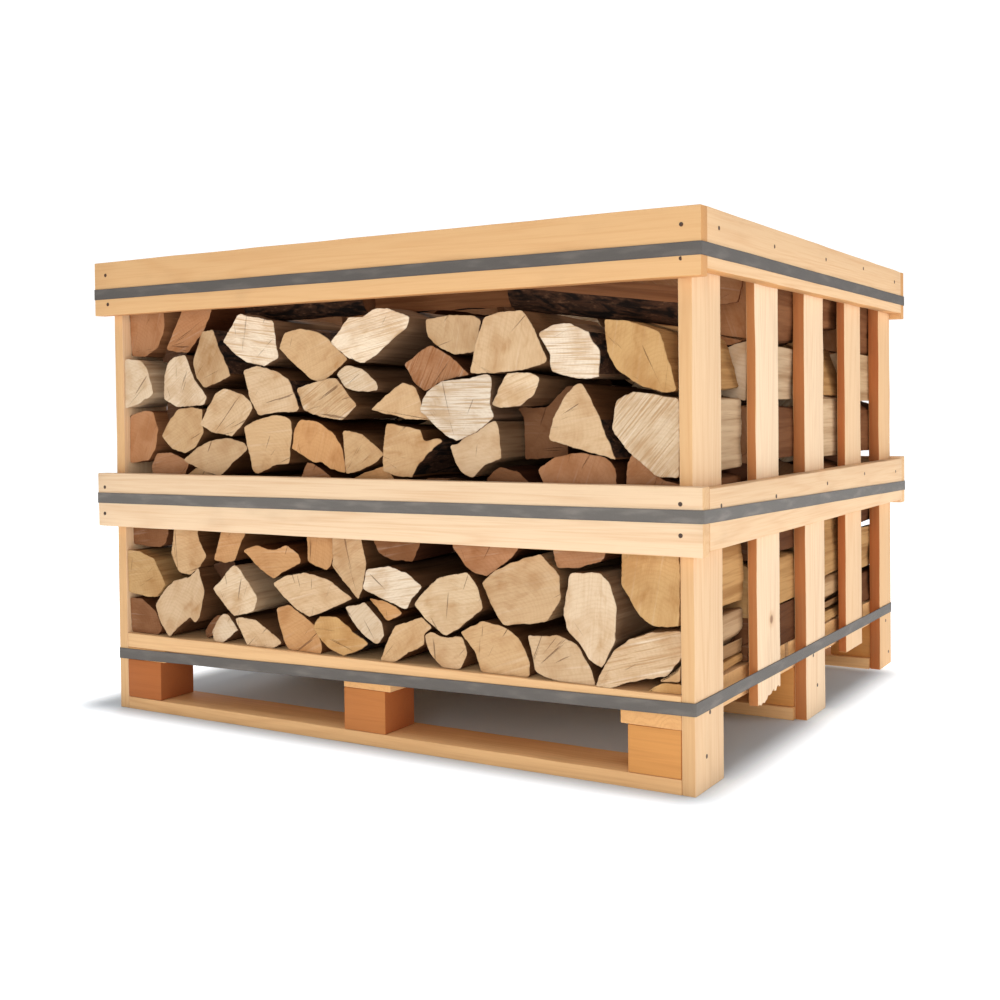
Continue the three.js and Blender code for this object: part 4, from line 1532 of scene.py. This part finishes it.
@dataclass
class CrossLogs:
    """The barked logs that lie along the crate on top of the front row."""

    sides: int = 44
    cuts: int = 22
    bark_depth: float = 5.0 * MM
    end_gap: float = 2.0 * MM
    side_gap: float = 1.5 * MM
    rim: float = 4.0 * MM
    marks: float = 0.2
    # How lit the cross logs' split faces are painted, between painted shade and painted light.
    side: float = 0.38
    ripple_rates: Span = (14.0, 52.0)
    barked_length: float = 0.495
    barked_depth: float = 0.5
    end_facing: float = 0.85
    split_facing: float = 0.86
    smooth_below: float = 45.0
    logs: tuple[CrossLog, ...] = (
        CrossLog(-24.0, -24.0, 70.0, 0.32, Tone.BROWN),
        CrossLog(-24.0, -24.0, 190.0, 0.32, Tone.RUDDY),
        CrossLog(20.0, -20.0, 124.0, 0.66, Tone.RUDDY),
    )

    def build(self, finishes: Sequence[bpy.types.Material]) -> None:
        """Builds the three cross logs from their CAD boxes.

        Args:
            finishes: the end grain, the split side and the bark.
        """
        for number, log in enumerate(self.logs, start=1):
            self.make(f"cross_log_{number}", log, finishes)

    def make(self, node: str, log: CrossLog, finishes: Sequence[bpy.types.Material]) -> None:
        """Makes one cross log.

        Args:
            node: the CAD node that it stands for.
            log: how it lies and looks.
            finishes: the end grain, the split side and the bark.
        """
        left, right = log.left * MM, log.right * MM
        looks = Vector((0.0, math.cos(math.radians(log.facing)), math.sin(math.radians(log.facing))))
        low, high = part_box(node)
        length = (high.x - low.x) - self.end_gap
        slope = abs(left - right)
        radius = min((high.y - low.y), (high.z - low.z) - slope) / 2 - self.side_gap
        middle = (low + high) / 2
        bpy.ops.object.select_all(action="DESELECT")
        turned = (0.0, math.pi / 2, 0.0)
        bpy.ops.mesh.primitive_cylinder_add(
            vertices=self.sides, radius=radius, depth=length, location=middle, rotation=turned
        )
        piece = bpy.context.object
        piece.name = piece.data.name = "barked_" + node
        bpy.ops.object.transform_apply(location=True, rotation=True, scale=True)
        with edit_mode(piece):
            choose_edges(piece, lambda edge: abs((edge.verts[0].co - edge.verts[1].co).x) > END_ON * length)
            bpy.ops.mesh.subdivide(number_cuts=self.cuts)
            choose_faces(piece, lambda face: abs(face.normal.x) > END_ON)
            bpy.ops.mesh.inset(thickness=self.rim, depth=0.0, use_individual=True)
            inner = {vertex.index for vertex in live_mesh(piece).verts if vertex.select}
        seed = float(len(node) + ord(node[-1]))
        heart: list[float] = []
        saw: list[float] = []
        tint: list[float] = []
        rim: list[float] = []
        for vertex in piece.data.vertices:
            offset = vertex.co - middle
            share = offset.x / length
            flat = log.split_share * radius
            offset -= looks * max(0.0, offset.dot(looks) - flat)
            along, over = self.ripple_rates
            place = Vector((offset.x * along, offset.y * over, offset.z * over + seed))
            ripple = noise.noise(place) * self.bark_depth
            round_part = Vector((0.0, offset.y, offset.z))
            if abs(share) < self.barked_length and round_part.length > self.barked_depth * radius:
                round_part *= 1.0 - abs(ripple) / radius
            vertex.co = middle + Vector((offset.x, round_part.y, round_part.z))
            vertex.co.z += (left + right) / 2 + (right - left) * share
            heart += [offset.y, offset.x + seed, offset.z]
            saw += [offset.y + seed, offset.z, 0.0]
            tint += [*log.tone.value[:3], self.marks]
            rim.append(0.0 if vertex.index in inner else 1.0)
        write_attribute(piece, "heart", "FLOAT_VECTOR", "vector", heart)
        write_attribute(piece, "saw", "FLOAT_VECTOR", "vector", saw)
        write_attribute(piece, "tint", "FLOAT_COLOR", "color", tint)
        write_attribute(piece, "rim", "FLOAT", "value", rim)
        write_attribute(piece, "side", "FLOAT", "value", [self.side] * len(rim))
        for finish in finishes:
            piece.data.materials.append(finish)
        for face in piece.data.polygons:
            if abs(face.normal.x) > self.end_facing:
                face.material_index = END_FINISH
            else:
                is_split = face.normal.dot(looks) > self.split_facing
                face.material_index = SIDE_FINISH if is_split else BARK_FINISH
        smooth(piece, self.smooth_below)
        hand_over(piece, "barked_log", node)


# ---------------------------------------------------------------- nails


@dataclass
class Nails:
    """The nail heads that show on the rails and posts.

    Attributes:
        radius: a head's radius.
        proud: how far it stands out of its board.
        depth: how thick it is.
        edge: how wide its eased edge is.
        sides: how many sides its round has.
        smooth_below: the angle below which its faces are shaded smooth, in degrees.
        rail_ends: where a front or back rail's nails are, across and up, in crate millimetres.
        upright_places: where a side rail's nails are, back from the front and down from its top.
        post_feet: where a post's nails are, back from the front and up from the floor.
    """

    radius: float = 3.3 * MM
    proud: float = 0.4 * MM
    depth: float = 1.4 * MM
    edge: float = 0.3 * MM
    sides: int = 14
    smooth_below: float = 40.0
    rail_ends: dict[str, tuple[tuple[float, float], ...]] = field(default_factory=lambda: {
        "top": ((29.0, 806.0), (34.0, 752.0), (1171.0, 804.0), (1170.0, 757.0)),
        "mid": ((18.0, 414.0), (17.0, 365.0), (1166.0, 416.0), (1166.0, 372.0)),
    })
    upright_places: tuple[tuple[float, float], ...] = (
        (68.0, -26.0), (306.0, -28.0), (580.0, -23.0), (822.0, -18.0), (1061.0, -25.0),
    )
    post_feet: dict[int, tuple[tuple[float, float], ...]] = field(default_factory=lambda: {
        1: ((80.0, 110.0), (66.0, 49.0)),
        3: ((593.0, 51.0), (570.0, 108.0)),
        5: ((1091.0, 27.0), (1070.0, 96.0)),
    })

    def places(self) -> list[tuple[Vector, Vector]]:
        """Returns where each nail stands on its board's face, and which way it faces."""
        heads: list[tuple[Vector, Vector]] = []
        for face, outward in (("front", -1.0), ("back", 1.0)):
            for height, ends in self.rail_ends.items():
                low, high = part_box(f"{face}_{height}_rail")
                surface = low.y if outward < 0 else high.y
                for x, z in ends:
                    heads.append((Vector((CORNER.x + x * MM, surface, z * MM)), Vector((0.0, outward, 0.0))))
        for face, outward in (("left", -1.0), ("right", 1.0)):
            aside = Vector((outward, 0.0, 0.0))
            for height in self.rail_ends:
                low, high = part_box(f"{face}_{height}_rail")
                surface = low.x if outward < 0 else high.x
                for y, drop in self.upright_places:
                    heads.append((Vector((surface, CORNER.y + y * MM, high.z + drop * MM)), aside))
            for post, feet in self.post_feet.items():
                low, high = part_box(f"{face}_post_{post}")
                surface = low.x if outward < 0 else high.x
                for y, z in feet:
                    heads.append((Vector((surface, CORNER.y + y * MM, z * MM)), aside))
        return heads

    def build(self, finish: bpy.types.Material) -> None:
        """Drives the nails of the front and back rails, of the side rails and of the posts' feet."""
        bpy.ops.object.select_all(action="DESELECT")
        bpy.ops.mesh.primitive_cylinder_add(vertices=self.sides, radius=self.radius, depth=self.depth)
        piece = bpy.context.object
        piece.name = piece.data.name = "nail_heads"
        with edit_mode(piece):
            bpy.ops.mesh.select_all(action="SELECT")
            bpy.ops.mesh.delete(type="VERT")
            for at, outward in self.places():
                turned = (math.pi / 2, 0.0, 0.0) if abs(outward.y) > 0.5 else (0.0, math.pi / 2, 0.0)
                middle = at + outward * (self.proud - self.depth / 2)
                bpy.ops.mesh.primitive_cylinder_add(
                    vertices=self.sides,
                    radius=self.radius,
                    depth=self.depth,
                    location=middle,
                    rotation=turned,
                )
        bpy.ops.object.transform_apply(location=True, rotation=True, scale=True)
        bevel(piece, self.edge, 1)
        smooth(piece, self.smooth_below)
        piece.data.materials.append(finish)
        hand_over(piece, "frame_board")


# ---------------------------------------------------------------- studio


@dataclass
class SoftLight:
    """One large soft light of the studio."""

    name: str
    place: tuple[float, float, float]
    aim: tuple[float, float, float]
    size: float
    power: float

    def hang(self) -> None:
        """Hangs the light and turns it to what it lights."""
        data = bpy.data.lights.new(self.name, "AREA")
        data.shape = "SQUARE"
        data.size = self.size
        data.energy = self.power
        lamp = bpy.data.objects.new(self.name, data)
        bpy.context.scene.collection.objects.link(lamp)
        lamp.location = self.place
        lamp.rotation_euler = (Vector(self.aim) - Vector(self.place)).to_track_quat("-Z", "Y").to_euler()


@dataclass
class Studio:
    """The pale floor, the soft lights, the white surroundings and the camera."""

    floor_size: float = 40.0
    surroundings: float = 0.20
    backdrop: float = 1.1
    yaw: float = 31.42
    pitch: float = -1.07
    roll: float = -0.66
    lens: float = 46.08
    sensor: float = 36.0
    shift: tuple[float, float] = (0.0118, -0.0683)
    lights: tuple[SoftLight, ...] = (
        SoftLight("side_light", (4.4, 1.7, 1.1), (0.0, 0.0, 0.4), 2.0, 69.0),
        SoftLight("front_light", (1.9, -4.3, 1.1), (0.2, 0.0, 0.35), 2.2, 70.0),
        SoftLight("top_light", (0.0, -1.0, 4.2), (0.0, -0.4, 0.0), 3.0, 70.0),
        SoftLight("back_light", (-3.4, 3.6, 1.8), (0.0, 0.0, 0.4), 2.6, 80.0),
    )

    def build(self, finish: bpy.types.Material) -> None:
        """Lays the floor, hangs the lights, and sets the surroundings and the camera."""
        bpy.ops.object.select_all(action="DESELECT")
        bpy.ops.mesh.primitive_plane_add(size=self.floor_size)
        floor = bpy.context.object
        floor.name = floor.data.name = "studio_floor"
        floor.data.materials.append(finish)
        for light in self.lights:
            light.hang()
        self.surround()
        self.stand_camera()
        bpy.context.scene.view_settings.view_transform = "Standard"

    def surround(self) -> None:
        """Makes the surroundings white to look at and softer as a light."""
        world = bpy.data.worlds.new("studio_white")
        world.use_nodes = True
        nodes, links = world.node_tree.nodes, world.node_tree.links
        background = nodes["Background"]
        path = nodes.new("ShaderNodeLightPath")
        strength = nodes.new("ShaderNodeMapRange")
        strength.inputs["To Min"].default_value = self.surroundings
        strength.inputs["To Max"].default_value = self.backdrop
        links.new(path.outputs["Is Camera Ray"], strength.inputs["Value"])
        links.new(strength.outputs[0], background.inputs["Strength"])
        background.inputs["Color"].default_value = (1.0, 1.0, 1.0, 1.0)
        bpy.context.scene.world = world

    def stand_camera(self) -> None:
        """Stands the camera at the front right, near the ground, looking almost level."""
        yaw, pitch, roll = (math.radians(angle) for angle in (self.yaw, self.pitch, self.roll))
        forward = Vector((-math.sin(yaw) * math.cos(pitch), math.cos(yaw) * math.cos(pitch), math.sin(pitch)))
        level = Vector((math.cos(yaw), math.sin(yaw), 0.0))
        upright = level.cross(forward)
        right = level * math.cos(roll) + upright * math.sin(roll)
        above = upright * math.cos(roll) - level * math.sin(roll)
        turn = Matrix((right, above, -forward)).transposed().to_4x4()
        data = bpy.data.cameras.new("camera")
        data.lens = self.lens
        data.sensor_width = self.sensor
        data.shift_x, data.shift_y = self.shift
        camera = bpy.data.objects.new("camera", data)
        camera.matrix_world = Matrix.Translation(EYE) @ turn
        bpy.context.scene.collection.objects.link(camera)
        bpy.context.scene.camera = camera


def main() -> None:
    """Builds the crate and its studio, in order."""
    logging.basicConfig(level=logging.INFO, format="%(name)s: %(message)s")
    noise.seed_set(NOISE_SEED)
    Studio().build(StudioFloor().material())
    pine = SawnBoard(
        "frame_pine",
        fresh=paint(240, 211, 176),
        seasoned=paint(214, 163, 102),
        aged=paint(178, 98, 44),
        line=paint(196, 134, 76),
    )
    rough = SawnBoard(
        "pallet_pine",
        fresh=paint(238, 204, 160),
        seasoned=paint(230, 175, 112),
        aged=paint(190, 126, 76),
        line=paint(184, 120, 66),
    )
    block = SawnBoard(
        "block_wood",
        fresh=paint(216, 150, 78),
        seasoned=paint(176, 97, 40),
        aged=paint(120, 60, 24),
        line=paint(140, 72, 30),
        contrast=0.2,
    )
    CrateFrame().build(pine.material())
    Pallet().build(rough.material(), block.material())
    Strapping().build(Webbing().material())
    logs = (EndGrain().material(), SplitSide().material(), Bark().material())
    for row in (
        LogRow(1, 4, flipped=False, topped=False),
        LogRow(2, 3, flipped=True, topped=True, swelling=0.06, unlike=6.0),
        LogRow(3, 3, flipped=False, topped=True, swelling=0.06, unlike=6.0),
        LogRow(4, 4, flipped=True, topped=True, swelling=0.06, unlike=6.0),
    ):
        row.build(logs)
    CrossLogs().build(logs)
    Nails().build(NailSteel().material())


if __name__ == "__main__":
    main()
